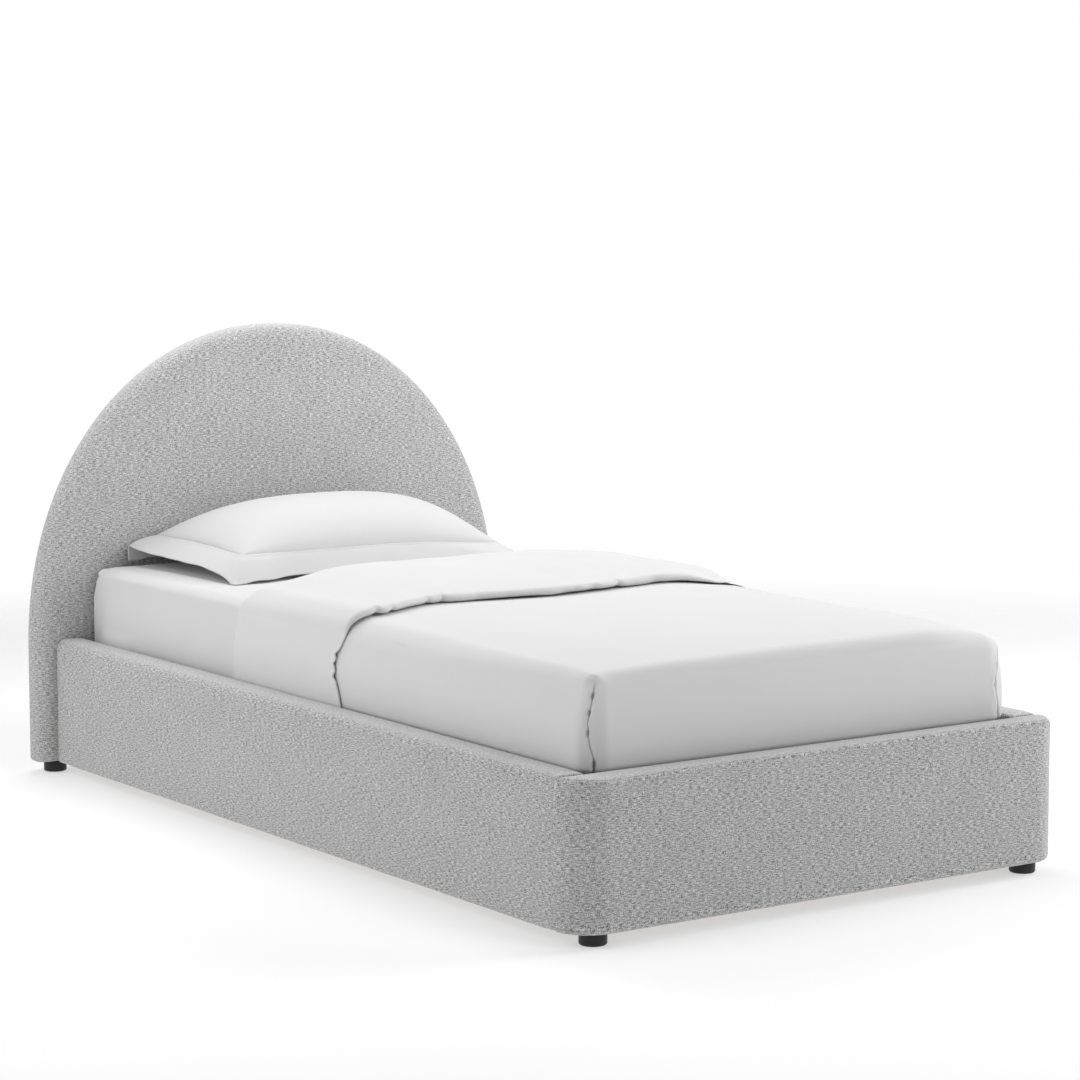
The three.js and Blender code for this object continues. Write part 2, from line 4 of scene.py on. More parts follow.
import bpy
import numpy as np
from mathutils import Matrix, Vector


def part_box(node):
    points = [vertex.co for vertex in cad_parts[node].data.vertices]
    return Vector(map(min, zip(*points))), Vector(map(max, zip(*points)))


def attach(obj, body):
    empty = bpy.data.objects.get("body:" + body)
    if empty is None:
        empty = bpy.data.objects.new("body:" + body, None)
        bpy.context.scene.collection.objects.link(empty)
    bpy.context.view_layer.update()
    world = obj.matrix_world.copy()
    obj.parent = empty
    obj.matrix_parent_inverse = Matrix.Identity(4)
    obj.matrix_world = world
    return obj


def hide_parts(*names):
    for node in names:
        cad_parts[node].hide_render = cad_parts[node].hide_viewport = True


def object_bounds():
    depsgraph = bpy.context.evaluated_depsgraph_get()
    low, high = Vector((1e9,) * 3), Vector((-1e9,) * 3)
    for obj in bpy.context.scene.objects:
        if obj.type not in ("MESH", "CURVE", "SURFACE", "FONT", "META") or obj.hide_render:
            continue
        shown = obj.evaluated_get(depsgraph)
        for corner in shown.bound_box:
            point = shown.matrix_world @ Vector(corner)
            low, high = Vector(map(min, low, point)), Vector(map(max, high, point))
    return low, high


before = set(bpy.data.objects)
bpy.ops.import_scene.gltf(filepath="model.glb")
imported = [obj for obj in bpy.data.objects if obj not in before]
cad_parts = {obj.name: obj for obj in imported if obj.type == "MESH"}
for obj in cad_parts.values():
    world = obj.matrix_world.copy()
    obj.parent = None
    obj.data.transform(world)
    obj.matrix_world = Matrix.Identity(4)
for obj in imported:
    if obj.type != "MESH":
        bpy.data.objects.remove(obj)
CAD_LOW, CAD_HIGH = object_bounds()

FRAME_BODY = "bed_frame"
MATTRESS_BODY = "made_up_mattress"
PILLOW_BODY = "pillow_in_sham"

# ---- places read from the CAD frame ----
HEADBOARD_LOW, HEADBOARD_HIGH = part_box("headboard_cover")
RAIL_LOW, RAIL_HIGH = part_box("side_rail_cover_right")
FOOT_LOW, FOOT_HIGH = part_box("foot_rail_cover")
SHEET_LOW, SHEET_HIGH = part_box("fitted_sheet")
DUVET_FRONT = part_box("duvet")[0].y
MATTRESS_LOW, MATTRESS_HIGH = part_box("mattress")

# ---- shapes ----
ARCH_SPRING = 0.282
ARCH_EXPONENT = 2.07
RIM_RADIUS = 0.036
BASE_RADIUS = 0.007
DUVET_TOP = 0.479
HEAD_CLEARANCE = 0.0025  # keeps the lifted mattress off the headboard's soft front

# ---- studio ----
FLOOR_FADE_START = 2.4
FLOOR_FADE_END = 4.2
FLOOR_GLOW = 0.50
CAMERA_PLACE = (-3.7968, -5.5932, 1.3928)
CAMERA_YAW = 34.659  # degrees to the right of +Y
CAMERA_PITCH = 6.762  # degrees below level
CAMERA_LENS = 107.605
SKY_EDGE = (0.06, 0.16)
SKY_GLOW_AXIS = (0.0, 1.0, 0.5)
SKY_GLOW = 0.62
SOFT_BOXES = [
    ("overhead_box", (0.2, -0.3, 3.2), (0.1, 0.6, 0.5), 2.0, 24.0),
    ("rear_box", (0.0, 1.7, 2.7), (0.0, 0.5, 0.5), 1.6, 30.0),
    ("rear_left_box", (-1.9, 1.6, 2.3), (-0.2, 0.7, 0.5), 1.4, 10.0),
    ("left_box", (-3.2, 0.2, 2.2), (0.0, 0.1, 0.3), 2.4, 42.0),
    ("front_box", (0.9, -4.0, 2.6), (0.2, 0.0, 0.5), 2.4, 44.0),
    ("right_box", (3.5, -1.5, 2.5), (0.2, 0.4, 0.5), 2.4, 115.0),
]


# ================= smooth noise for the folds of cloth =================
NOISE_TABLE = 4096


def value_noise(points, scale, seed):
    """Smooth noise from -1 to 1 at each row of points, whose cells are scale metres wide."""
    table = np.random.default_rng(seed).uniform(-1.0, 1.0, NOISE_TABLE)
    cell = np.asarray(points, float) / scale
    base = np.floor(cell).astype(int)
    part = cell - base
    part = part * part * (3 - 2 * part)
    total = np.zeros(len(cell))
    dims = cell.shape[1]
    primes = np.array([73856093, 19349663, 83492791])[:dims]
    for corner in range(2**dims):
        offset = np.array([(corner >> k) & 1 for k in range(dims)])
        weight = np.prod(np.where(offset == 1, part, 1 - part), axis=1)
        key = ((base + offset) * primes).sum(axis=1) & (NOISE_TABLE - 1)
        total += weight * table[key]
    return total


def smooth(low, high, value):
    share = np.clip((np.asarray(value, float) - low) / (high - low), 0, 1)
    return share * share * (3 - 2 * share)


# ================= meshes =================
def add_mesh(name, points, faces, material, corner_uv=None):
    mesh = bpy.data.meshes.new(name)
    mesh.from_pydata(np.asarray(points, float).tolist(), [], faces)
    mesh.polygons.foreach_set("use_smooth", [True] * len(mesh.polygons))
    if corner_uv is not None:
        layer = mesh.uv_layers.new(name="weave")
        layer.data.foreach_set("uv", np.asarray(corner_uv, float).ravel())
    mesh.materials.append(material)
    mesh.update()
    obj = bpy.data.objects.new(name, mesh)
    bpy.context.scene.collection.objects.link(obj)
    return obj


def loft(name, rings, ring_uv, material, cap_high=True):
    """Joins closed rings of equal length. ring_uv has one more column than a ring, for its join."""
    rings = np.asarray(rings, float)
    ring_uv = np.asarray(ring_uv, float)
    rows, count = rings.shape[:2]
    faces, uvs = [], []
    for r in range(rows - 1):
        for i in range(count):
            j = (i + 1) % count
            faces.append((r * count + i, r * count + j, (r + 1) * count + j, (r + 1) * count + i))
            uvs += [ring_uv[r, i], ring_uv[r, i + 1], ring_uv[r + 1, i + 1], ring_uv[r + 1, i]]
    faces.append(tuple(reversed(range(count))))
    uvs += [ring_uv[0, i] for i in reversed(range(count))]
    if cap_high:
        top = (rows - 1) * count
        faces.append(tuple(range(top, top + count)))
        uvs += [ring_uv[-1, i] for i in range(count)]
    return add_mesh(name, rings.reshape(-1, 3), faces, material, uvs)


def rounded_rectangle(low_u, high_u, low_v, high_v, radii, arc_points, side_steps):
    """An anticlockwise outline from the low u, low v corner. side_steps gives the steps for a length."""
    corners = [
        (low_u, low_v, 1, 1, math.pi),
        (high_u, low_v, -1, 1, 1.5 * math.pi),
        (high_u, high_v, -1, -1, 0.0),
        (low_u, high_v, 1, -1, 0.5 * math.pi),
    ]
    arcs = []
    for (u, v, to_u, to_v, start), radius in zip(corners, radii):
        turn = start + np.linspace(0, math.pi / 2, arc_points)
        arcs.append(pair(u + radius * (to_u + np.cos(turn)), v + radius * (to_v + np.sin(turn))))
    outline = []
    for k, arc in enumerate(arcs):
        outline.append(arc)
        start, end = arc[-1], arcs[(k + 1) % 4][0]
        share = np.linspace(0, 1, side_steps(k, np.linalg.norm(end - start)) + 1)[1:-1, None]
        outline.append(start + (end - start) * share)
    return np.concatenate(outline)


def every(spacing):
    """Side steps of about one spacing each, for rounded_rectangle."""
    return lambda side, length: max(int(length / spacing), 1)


def ring_at(outline, z):
    """An outline in x and y, lifted to z."""
    return np.column_stack([outline, np.broadcast_to(z, len(outline))])


def upright(outline, y):
    """An outline in x and z, moved to y."""
    return np.column_stack([outline[:, 0], np.broadcast_to(y, len(outline)), outline[:, 1]])


def pair(first, second):
    """Two columns side by side. Either may be a single number."""
    return np.stack(np.broadcast_arrays(first, second), axis=1)


def outward_normals(outline):
    ahead = np.roll(outline, -1, axis=0) - np.roll(outline, 1, axis=0)
    normal = pair(ahead[:, 1], -ahead[:, 0])
    return normal / np.linalg.norm(normal, axis=1)[:, None]


def mirrored(outline):
    """The other half of an outline about x = 0, in the order that carries on round."""
    return outline[::-1] * [-1, 1]


def scaled(outline, centre, share):
    return centre + (outline - centre) * share


def path_length(outline):
    """Distance along a closed outline to each point, and all the way round at the end."""
    steps = np.linalg.norm(np.roll(outline, -1, axis=0) - outline, axis=1)
    return np.concatenate([[0.0], np.cumsum(steps)])


# ================= materials =================
class Nodes:
    """A node tree whose nodes are added in short calls."""

    def __init__(self, tree):
        self.tree = tree

    def add(self, kind, **settings):
        node = self.tree.nodes.new(kind)
        for key, value in settings.items():
            setattr(node, key, value)
        return node

    def join(self, output, entry):
        self.tree.links.new(output, entry)

    def math(self, operation, first, second=0.0):
        node = self.add("ShaderNodeMath", operation=operation)
        for entry, value in zip(node.inputs, (first, second)):
            if isinstance(value, (int, float)):
                entry.default_value = value
            else:
                self.join(value, entry)
        return node.outputs[0]

    def step(self, value, low, high, to_low, to_high):
        """Eases from to_low to to_high while value goes from low to high."""
        node = self.add("ShaderNodeMapRange", interpolation_type="SMOOTHSTEP")
        for entry, number in zip(node.inputs[1:5], (low, high, to_low, to_high)):
            entry.default_value = number
        self.join(value, node.inputs["Value"])
        return node.outputs["Result"]


class Shader(Nodes):
    """A material on the principled surface."""

    def __init__(self, name, roughness, sheen=0.0, metallic=0.0, specular=0.5):
        self.material = bpy.data.materials.new(name)
        self.material.use_nodes = True
        super().__init__(self.material.node_tree)
        self.surface = self.tree.nodes["Principled BSDF"]
        self.surface.inputs["Roughness"].default_value = roughness
        self.surface.inputs["Sheen Weight"].default_value = sheen
        self.surface.inputs["Sheen Roughness"].default_value = 0.5
        self.surface.inputs["Metallic"].default_value = metallic
        self.surface.inputs["Specular IOR Level"].default_value = specular

    def place(self, source, scale, offset=(0, 0, 0)):
        """Coordinates in metres times scale. source is a UV layer's name, or None for object space."""
        if source is None:
            start = self.add("ShaderNodeTexCoord").outputs["Object"]
        else:
            start = self.add("ShaderNodeUVMap", uv_map=source).outputs["UV"]
        mapping = self.add("ShaderNodeMapping")
        mapping.inputs["Scale"].default_value = scale
        mapping.inputs["Location"].default_value = offset
        self.join(start, mapping.inputs["Vector"])
        return mapping.outputs["Vector"]

    def noise(self, vector, detail=2.0, rough=0.5, distort=0.0):
        node = self.add("ShaderNodeTexNoise")
        node.inputs["Scale"].default_value = 1.0
        node.inputs["Detail"].default_value = detail
        node.inputs["Roughness"].default_value = rough
        node.inputs["Distortion"].default_value = distort
        self.join(vector, node.inputs["Vector"])
        return node.outputs["Fac"]

    def ramp(self, value, stops):
        node = self.add("ShaderNodeValToRGB")
        elements = node.color_ramp.elements
        while len(elements) < len(stops):
            elements.new(0.5)
        for element, (position, color) in zip(elements, stops):
            element.position = position
            element.color = (*color, 1.0)
        self.join(value, node.inputs["Fac"])
        return node.outputs["Color"]

    def mix(self, share, first, second):
        node = self.add("ShaderNodeMix", data_type="RGBA")
        entries = [node.inputs[0], node.inputs[6], node.inputs[7]]
        for entry, value in zip(entries, (share, first, second)):
            if isinstance(value, (int, float)):
                entry.default_value = value
            elif isinstance(value, tuple):
                entry.default_value = (*value, 1.0)
            else:
                self.join(value, entry)
        return node.outputs[2]

    def blend(self, layers):
        """The sum of noise layers on the weave, each given as scale, offset, detail and share."""
        total = None
        for scale, offset, detail, share in layers:
            noise = self.noise(self.place("weave", scale, offset), detail=detail)
            part = self.math("MULTIPLY", noise, share)
            total = part if total is None else self.math("ADD", total, part)
        return total

    def color(self, output):
        self.join(output, self.surface.inputs["Base Color"])

    def bump(self, height, distance, strength):
        node = self.add("ShaderNodeBump")
        node.inputs["Distance"].default_value = distance
        node.inputs["Strength"].default_value = strength
        self.join(height, node.inputs["Height"])
        self.join(node.outputs["Normal"], self.surface.inputs["Normal"])


def grey(level):
    return (level, level, level)


WEAVE_LAYERS = [
    ((105, 620, 1), (0, 0, 0), 0.0, 0.31),  # slubs along the weft
    ((300, 1100, 1), (3, 1, 0), 1.0, 0.18),  # weft threads
    ((640, 130, 1), (7, 5, 0), 0.0, 0.14),  # warp
    ((540, 680, 1), (2, 9, 0), 0.0, 0.34),  # flecks
    ((9, 9, 1), (5, 5, 0), 2.0, 0.03),  # slow mottling
]
YARN_GREYS = [(0.35, 0.08), (0.435, 0.27), (0.50, 0.425), (0.565, 0.585), (0.65, 0.80)]
# Painted light from above: how far up a surface must face before it is painted paler, and how fast it
# pales.
PAINTED_TOP_LIGHT_FROM = 0.72
PAINTED_TOP_LIGHT_GAIN = 1.3


def weave_material():
    """Light grey tweed, painted paler where it faces up: painted light from above."""
    s = Shader("upholstery_weave", 0.92, sheen=0.2, specular=0.2)
    total = s.blend(WEAVE_LAYERS)
    yarn = s.ramp(total, [(value, grey(level)) for value, level in YARN_GREYS])
    facing = s.add("ShaderNodeSeparateXYZ")
    s.join(s.add("ShaderNodeNewGeometry").outputs["Normal"], facing.inputs["Vector"])
    # Painted light: surfaces that face up are mixed towards a pale grey, as if lit from above.
    pressed_dots_and_painted_top_light = s.math("SUBTRACT", facing.outputs["Z"], PAINTED_TOP_LIGHT_FROM)
    pressed_dots_and_painted_top_light = s.math("MULTIPLY", s.math("MAXIMUM", pressed_dots_and_painted_top_light, 0.0), PAINTED_TOP_LIGHT_GAIN)
    s.color(s.mix(pressed_dots_and_painted_top_light, yarn, grey(0.60)))
    s.bump(total, 0.0010, 0.6)
    return s.material


def cotton_material(name, level):
    """Smooth white percale with a fine thread and very soft creases, whose hollows are a shade darker as
    painted shade.
    """
    s = Shader(name, 0.82, sheen=0.15, specular=0.25)
    crease_and_painted_shade = s.noise(s.place(None, (9, 9, 9)), detail=3.0, distort=0.3)
    thread = s.noise(s.place(None, (900, 900, 900)), detail=1.0)
    # Painted shade: the colour is a shade darker where the crease noise is low, in the hollows of the
    # crease bump.
    s.color(s.ramp(crease_and_painted_shade, [(0.3, grey(level * 0.985)), (0.7, grey(level))]))
    height = s.math("ADD", s.math("MULTIPLY", crease_and_painted_shade, 0.6), s.math("MULTIPLY", thread, 0.06))
    s.bump(height, 0.0022, 0.5)
    return s.material


def wood_material(name, grain_axis, pale, dark):
    """Planed softwood whose grain runs along one axis."""
    s = Shader(name, 0.62, specular=0.35)
    scale = [34.0, 34.0, 34.0]
    scale[grain_axis] = 1.6
    grain = s.noise(s.place(None, tuple(scale)), detail=4.0, rough=0.6, distort=0.6)
    fine = [420.0, 420.0, 420.0]
    fine[grain_axis] = 9.0
    fibre = s.noise(s.place(None, tuple(fine)), detail=1.0)
    both = s.math("ADD", s.math("MULTIPLY", grain, 0.75), s.math("MULTIPLY", fibre, 0.25))
    s.color(s.ramp(both, [(0.36, dark), (0.5, pale), (0.66, tuple(0.85 * c for c in pale))]))
    s.bump(both, 0.0006, 0.5)
    return s.material


def foam_material():
    s = Shader("open_cell_foam", 0.95, sheen=0.1, specular=0.1)
    cells = s.add("ShaderNodeTexVoronoi")
    cells.inputs["Scale"].default_value = 700.0
    s.join(s.place(None, (1, 1, 1)), cells.inputs["Vector"])
    s.color(s.ramp(cells.outputs["Distance"], [(0.0, (0.72, 0.66, 0.50)), (0.6, (0.86, 0.81, 0.66))]))
    s.bump(cells.outputs["Distance"], 0.0008, 0.8)
    return s.material


def lining_material():
    """Dark nonwoven lining with its pressed dots."""
    s = Shader("nonwoven_lining", 0.9, sheen=0.1, specular=0.2)
    dots = s.add("ShaderNodeTexVoronoi")
    dots.inputs["Scale"].default_value = 420.0
    dots.inputs["Randomness"].default_value = 0.15
    s.join(s.place(None, (1, 1, 1)), dots.inputs["Vector"])
    felt = s.noise(s.place(None, (60, 60, 60)), detail=4.0)
    pressed_dots_and_painted_top_light = s.ramp(dots.outputs["Distance"], [(0.2, grey(0.055)), (0.35, grey(0.085))])
    s.color(s.mix(felt, pressed_dots_and_painted_top_light, grey(0.10)))
    s.bump(dots.outputs["Distance"], 0.0005, 0.7)
    return s.material


def plastic_material():
    s = Shader("black_moulded_plastic", 0.42, specular=0.4)
    texture = s.noise(s.place(None, (900, 900, 900)), detail=2.0)
    scuff = s.noise(s.place(None, (60, 60, 200)), detail=3.0)
    s.color(s.ramp(scuff, [(0.35, grey(0.006)), (0.75, grey(0.014))]))
    s.bump(texture, 0.0003, 0.4)
    return s.material


def steel_material(name, level):
    s = Shader(name, 0.38, metallic=1.0)
    brushed = s.noise(s.place(None, (40, 40, 700)), detail=3.0)
    s.color(s.ramp(brushed, [(0.35, grey(level * 0.85)), (0.7, (level, level, level * 1.03))]))
    s.bump(brushed, 0.0002, 0.4)
    return s.material


WEAVE = weave_material()
SHEET_COTTON = cotton_material("sheet_cotton", 0.65)
DUVET_COTTON = cotton_material("duvet_cotton", 0.67)
SHAM_COTTON = cotton_material("sham_cotton", 0.65)
TICKING = cotton_material("mattress_ticking", 0.72)
FOAM = foam_material()
LINING = lining_material()
PLASTIC = plastic_material()
BRACKET_STEEL = steel_material("bracket_steel", 0.50)
BOLT_STEEL = steel_material("bolt_steel", 0.36)
PINE = [
    wood_material(f"pine_grain_{axis}", k, (0.64, 0.44, 0.24), (0.46, 0.28, 0.13))
    for k, axis in enumerate("xyz")
]
SLAT_WOOD = wood_material("slat_wood", 0, (0.70, 0.51, 0.30), (0.52, 0.34, 0.17))
PLYWOOD = wood_material("plywood", 0, (0.55, 0.37, 0.20), (0.38, 0.23, 0.11))

CAD_FINISHES = {
    "headboard_foam": FOAM, "foot_rail_foam": FOAM, "side_rail_foam_": FOAM,
    "headboard_board": PLYWOOD, "foot_corner_block_": PLYWOOD,
    "headboard_post_": PINE[2], "headboard_cross_rail_": PINE[0], "foot_rail_board": PINE[0],
    "side_rail_board_": PINE[1], "slat_ledger_": PINE[1], "centre_beam": PINE[1],
    "slat_0": SLAT_WOOD, "slat_1": SLAT_WOOD,
    "centre_leg_": PLASTIC, "corner_bracket_": BRACKET_STEEL, "beam_saddle_": BRACKET_STEEL,
    "head_bolt_": BOLT_STEEL, "foot_bolt_": BOLT_STEEL,
    "head_rail_bolt_": BOLT_STEEL, "foot_rail_bolt_": BOLT_STEEL,
}


def finish_cad_nodes():
    for name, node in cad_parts.items():
        for start, material in CAD_FINISHES.items():
            if name.startswith(start):
                node.data.materials.clear()
                node.data.materials.append(material)


# ================= headboard =================
ARCH_POINTS = 160
HEADBOARD_CENTRE = np.array([0.0, 0.46])
FACE_SHARES = np.linspace(0.02, 1, 26)[:-1]
FACE_CROWN = 0.0014
FACE_SOFTNESS = 0.0005
LINING_PROUD = 0.0018


def arch_outline(inset, base_share=BASE_RADIUS / RIM_RADIUS):
    """The headboard's outline in x and z, from the bottom left corner anticlockwise.

    base_share is how much of the inset the bottom edge takes: it is cut nearly square.
    """
    half = HEADBOARD_HIGH.x - inset
    rise = HEADBOARD_HIGH.z - ARCH_SPRING - inset
    bottom = HEADBOARD_LOW.z + inset * base_share
    corner = max(0.010 - 0.3 * inset, 0.002)
    turn = np.linspace(0, math.pi / 2, 7)
    left = pair(-half + corner - corner * np.cos(turn), bottom + corner - corner * np.sin(turn))
    base = pair(np.linspace(-half + corner, half - corner, 50)[1:-1], bottom)
    side = np.linspace(bottom + corner, ARCH_SPRING, 14)[1:-1]
    angle = np.linspace(0, math.pi, ARCH_POINTS)
    power = 2 / ARCH_EXPONENT
    arch = pair(half * np.sign(np.cos(angle)) * np.abs(np.cos(angle)) ** power,
                ARCH_SPRING + rise * np.abs(np.sin(angle)) ** power)
    right_side = pair(half, side)
    return np.concatenate([left, base, mirrored(left), right_side, arch, mirrored(right_side)])


def build_headboard():
    flat_edge = arch_outline(RIM_RADIUS)
    front, back = HEADBOARD_LOW.y, HEADBOARD_HIGH.y
    rings, uvs = [], []

    def add_ring(outline, y, uv):
        rings.append(upright(outline, y))
        uvs.append(np.concatenate([uv, uv[:1]]))

    normal = outward_normals(arch_outline(0.0))
    for share in FACE_SHARES:
        outline = scaled(flat_edge, HEADBOARD_CENTRE, share)
        add_ring(outline, back, outline)
    steps = 10
    for turn in np.linspace(0, math.pi / 2, steps):
        inset = RIM_RADIUS * (1 - math.sin(turn))
        wrap = RIM_RADIUS * (math.pi - turn) + (back - front - 2 * RIM_RADIUS)
        add_ring(arch_outline(inset), back - RIM_RADIUS * (1 - math.cos(turn)),
                 flat_edge + normal * wrap)
    for turn in np.linspace(math.pi / 2, 0, steps):
        inset = RIM_RADIUS * (1 - math.sin(turn))
        add_ring(arch_outline(inset), front + RIM_RADIUS * (1 - math.cos(turn)),
                 flat_edge + normal * RIM_RADIUS * turn)
    for share in FACE_SHARES[::-1]:
        outline = scaled(flat_edge, HEADBOARD_CENTRE, share)
        soft = FACE_SOFTNESS * value_noise(outline, 0.16, 11) * (1 - share**6)
        above_bed = smooth(0.47, 0.56, outline[:, 1])
        add_ring(outline, front + (soft - FACE_CROWN * (1 - share**4)) * above_bed, outline)
    cover = loft("headboard_upholstery", rings, uvs, WEAVE)
    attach(cover, FRAME_BODY)
    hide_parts("headboard_cover")

    inset = HEADBOARD_HIGH.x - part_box("headboard_back_panel")[1].x
    panel_rings, panel_uvs = [], []
    outer = arch_outline(inset, base_share=1.0)
    for share, proud in ((1.0, -0.004), (1.0, 0.0006), (0.998, LINING_PROUD), (0.5, LINING_PROUD)):
        outline, y = scaled(outer, HEADBOARD_CENTRE, share), back + proud
        panel_rings.append(upright(outline, y))
        panel_uvs.append(np.concatenate([outline, outline[:1]]))
    panel = loft("headboard_back_lining", panel_rings[::-1], panel_uvs[::-1], LINING)
    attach(panel, FRAME_BODY)
    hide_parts("headboard_back_panel")


# ================= rails =================
RAIL_CROWN = 0.0032
RAIL_RADII = (0.010, 0.006, 0.020, 0.008)
# How far the cover draws in near each end, and the distance from that end.
RAIL_FOOT_END = [(0.0050, 0.0), (0.0028, 0.0007), (0.0018, 0.0022), (0.0013, 0.005),
                 (0.0009, 0.013), (0.0, 0.035)]
RAIL_HEAD_END = [(0.0090, 0.0), (0.0050, 0.0007), (0.0020, 0.0022), (0.0, 0.006)]


def build_side_rail(side, name):
    """A padded box rail with soft top edges; side is 1 on the right and -1 on the left."""
    low, high = RAIL_LOW, RAIL_HIGH
    base = rounded_rectangle(low.z, high.z, low.x, high.x, RAIL_RADII, 7, every(0.012))
    normal = outward_normals(base)
    along = path_length(base)
    middle = np.linspace(low.y + RAIL_FOOT_END[-1][1], high.y - RAIL_HEAD_END[-1][1], 164)[1:-1]
    stations = [(inset, low.y + step) for inset, step in RAIL_FOOT_END]
    stations += [(0.0, y) for y in middle]
    stations += [(inset, high.y - step) for inset, step in reversed(RAIL_HEAD_END)]
    rings, uvs = [], []
    for inset, y in stations:
        wave = 0.0005 * value_noise(pair(along[:-1], y), 0.11, 21 + side)
        outline = base + normal * (wave - inset)[:, None]
        across = (outline[:, 1] - (low.x + high.x) / 2) / ((high.x - low.x) / 2)
        on_top = smooth(high.z - 0.03, high.z, outline[:, 0])
        outline[:, 0] += RAIL_CROWN * (1 - np.abs(across) ** 3).clip(0) * on_top
        rings.append(upright(pair(outline[:, 1] * side, outline[:, 0]), y))
        uvs.append(pair(y, along))
    if side < 0:
        rings, uvs = rings[::-1], uvs[::-1]
    rail = loft(f"{name}_upholstery", rings, uvs, WEAVE)
    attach(rail, FRAME_BODY)
    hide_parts(name)


def foot_outline(inset):
    """The foot rail seen from above, offset inwards: two round outer corners, two tight inner ones."""
    low, high = FOOT_LOW, FOOT_HIGH
    radius = high.y - low.y - 0.001
    centre_x = high.x - radius
    centre_y = low.y + radius
    small = 0.0030
    steps, small_steps = 24, 4
    arc = radius - inset
    back = high.y - inset
    fillet_y = back - small
    end = math.asin((fillet_y - centre_y) / (arc - small))
    turn = np.linspace(-math.pi / 2, end, steps)
    big = pair(centre_x + arc * np.cos(turn), centre_y + arc * np.sin(turn))
    fillet_x = centre_x + (arc - small) * math.cos(end)
    turn = np.linspace(end, math.pi / 2, small_steps + 1)[1:]
    tight = pair(fillet_x + small * np.cos(turn), fillet_y + small * np.sin(turn))
    right = np.concatenate([big, tight])
    left = mirrored(right)
    share = np.linspace(0, 1, 90)[1:-1, None]
    rear = right[-1] + (left[0] - right[-1]) * share
    front = left[-1] + (right[0] - left[-1]) * share
    return np.concatenate([right, rear, left, front])


# Places across the front, and how far the seam along the top wanders up there.
SEAM_WANDER = (
    [-0.585, -0.530, -0.450, -0.360, 0.0, 0.33, 0.45, 0.55, 0.585],
    [0.001, -0.0018, -0.0022, 0.002, 0.002, 0.005, 0.003, 0.001, 0.000])
# Steps inwards over the top edge, and how far each is below the rail's top: stitched, then round.
SEAM_STEPS = [(0.0000, 0.0060), (0.0003, 0.0030), (0.0015, 0.0014), (0.0029, 0.0052), (0.0043, 0.0004),
              (0.0065, -0.0006), (0.0120, -0.0018), (0.0200, -0.0026), (0.0290, -0.0028)]
ROUND_STEPS = [(0.0000, 0.0210), (0.0010, 0.0115), (0.0030, 0.0060), (0.0060, 0.0025), (0.0090, 0.0006),
               (0.0125, -0.0004), (0.0165, -0.0014), (0.0220, -0.0024), (0.0290, -0.0028)]


def build_foot_rail():
    """The foot rail turns both rounded corners; a crisp seam joins its face to the strip on top."""
    low, high = FOOT_LOW, FOOT_HIGH
    base = foot_outline(0.0)
    around = path_length(base)
    normal = outward_normals(base)
    at_corner = 0.8 * np.abs(normal[:, 0]) * (base[:, 1] < high.y - 0.012)
    facing = smooth(0.15, 0.6, at_corner - normal[:, 1])
    rings, uvs = [], []

    def add_ring(outline, z, wrap):
        rings.append(ring_at(outline, z))
        uvs.append(pair(around, wrap))

    edge = 0.008
    for extra in (0.020, 0.012, 0.004):
        add_ring(foot_outline(edge + extra), low.z, low.z - edge - extra)
    for turn in np.linspace(0, math.pi / 2, 5):
        inset = edge * (1 - math.sin(turn))
        add_ring(foot_outline(inset), low.z + edge * (1 - math.cos(turn)), low.z + edge * turn)
    for z in np.linspace(low.z + edge, high.z - 0.024, 30)[1:]:
        wave = 0.0006 * value_noise(pair(around[:-1], z), 0.11, 31)
        welt = 0.0011 * np.exp(-((base[:, 1] - high.y + 0.006) / 0.005) ** 2) * (base[:, 0] < -0.57)
        add_ring(base + normal * (wave + welt)[:, None], z, z)
    wander = eased(base[:, 0], *SEAM_WANDER, 0.03)
    ripple = wander + 0.0006 * value_noise(around[:-1, None], 0.03, 34)
    crisp = facing * (1 - 0.9 * smooth(0.535, 0.575, base[:, 0]))
    for (seam_in, seam_down), (round_in, round_down) in zip(SEAM_STEPS, ROUND_STEPS):
        inset = (seam_in + round_in) / 2
        share = crisp[:, None]
        outline = foot_outline(seam_in) * share + foot_outline(round_in) * (1 - share)
        down = seam_down * crisp + round_down * (1 - crisp)
        add_ring(outline, high.z - down + ripple * facing * (1 - inset / 0.04), high.z + inset)
    rail = loft("foot_rail_upholstery", rings, uvs, WEAVE)
    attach(rail, FRAME_BODY)
    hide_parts("foot_rail_cover")


# ================= feet =================
def build_foot(node):
    low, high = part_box(node)
    radius = (high.x - low.x) / 2
    middle = (low + high) / 2
    height = high.z - low.z
    profile = [(0.0, 0.0), (0.70, 0.0), (0.74, 0.0006), (0.80, 0.0002)]
    for turn in np.linspace(0, math.pi / 2, 7):
        profile.append((1 - 0.17 * (1 - math.sin(turn)), 0.0045 * (1 - math.cos(turn))))
    profile += [(1.0, height * 0.5), (1.0, height - 0.0012), (0.985, height - 0.0002), (0.9, height)]
    turns = np.linspace(0, 2 * math.pi, 64, endpoint=False)
    rings, uvs = [], []
    for share, z in profile[1:]:
        circle = radius * share * pair(np.cos(turns), np.sin(turns))
        rings.append(ring_at(circle + [middle.x, middle.y], low.z + z))
        uvs.append(pair(np.linspace(0, 0.16, len(turns) + 1), z))
    foot = loft(f"{node}_moulding", rings, uvs, PLASTIC)
    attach(foot, FRAME_BODY)
    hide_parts(node)


# ================= cloth over a rounded block =================
def graded(low, high, tiers):
    """Positions from low to high. tiers gives (reach from each end, spacing), finest first."""
    near = [0.0]
    for reach, spacing in tiers[:-1]:
        while near[-1] < reach:
            near.append(near[-1] + spacing)
    near = np.array(near)
    steps = max(int((high - low - 2 * near[-1]) / tiers[-1][1]), 2)
    middle = np.linspace(low + near[-1], high - near[-1], steps + 1)[1:-1]
    return np.concatenate([low + near, middle, high - near[::-1]])


BLOCK_TIERS = ((0.026, 0.0013), (0.070, 0.0035), (1.0, 0.0085))


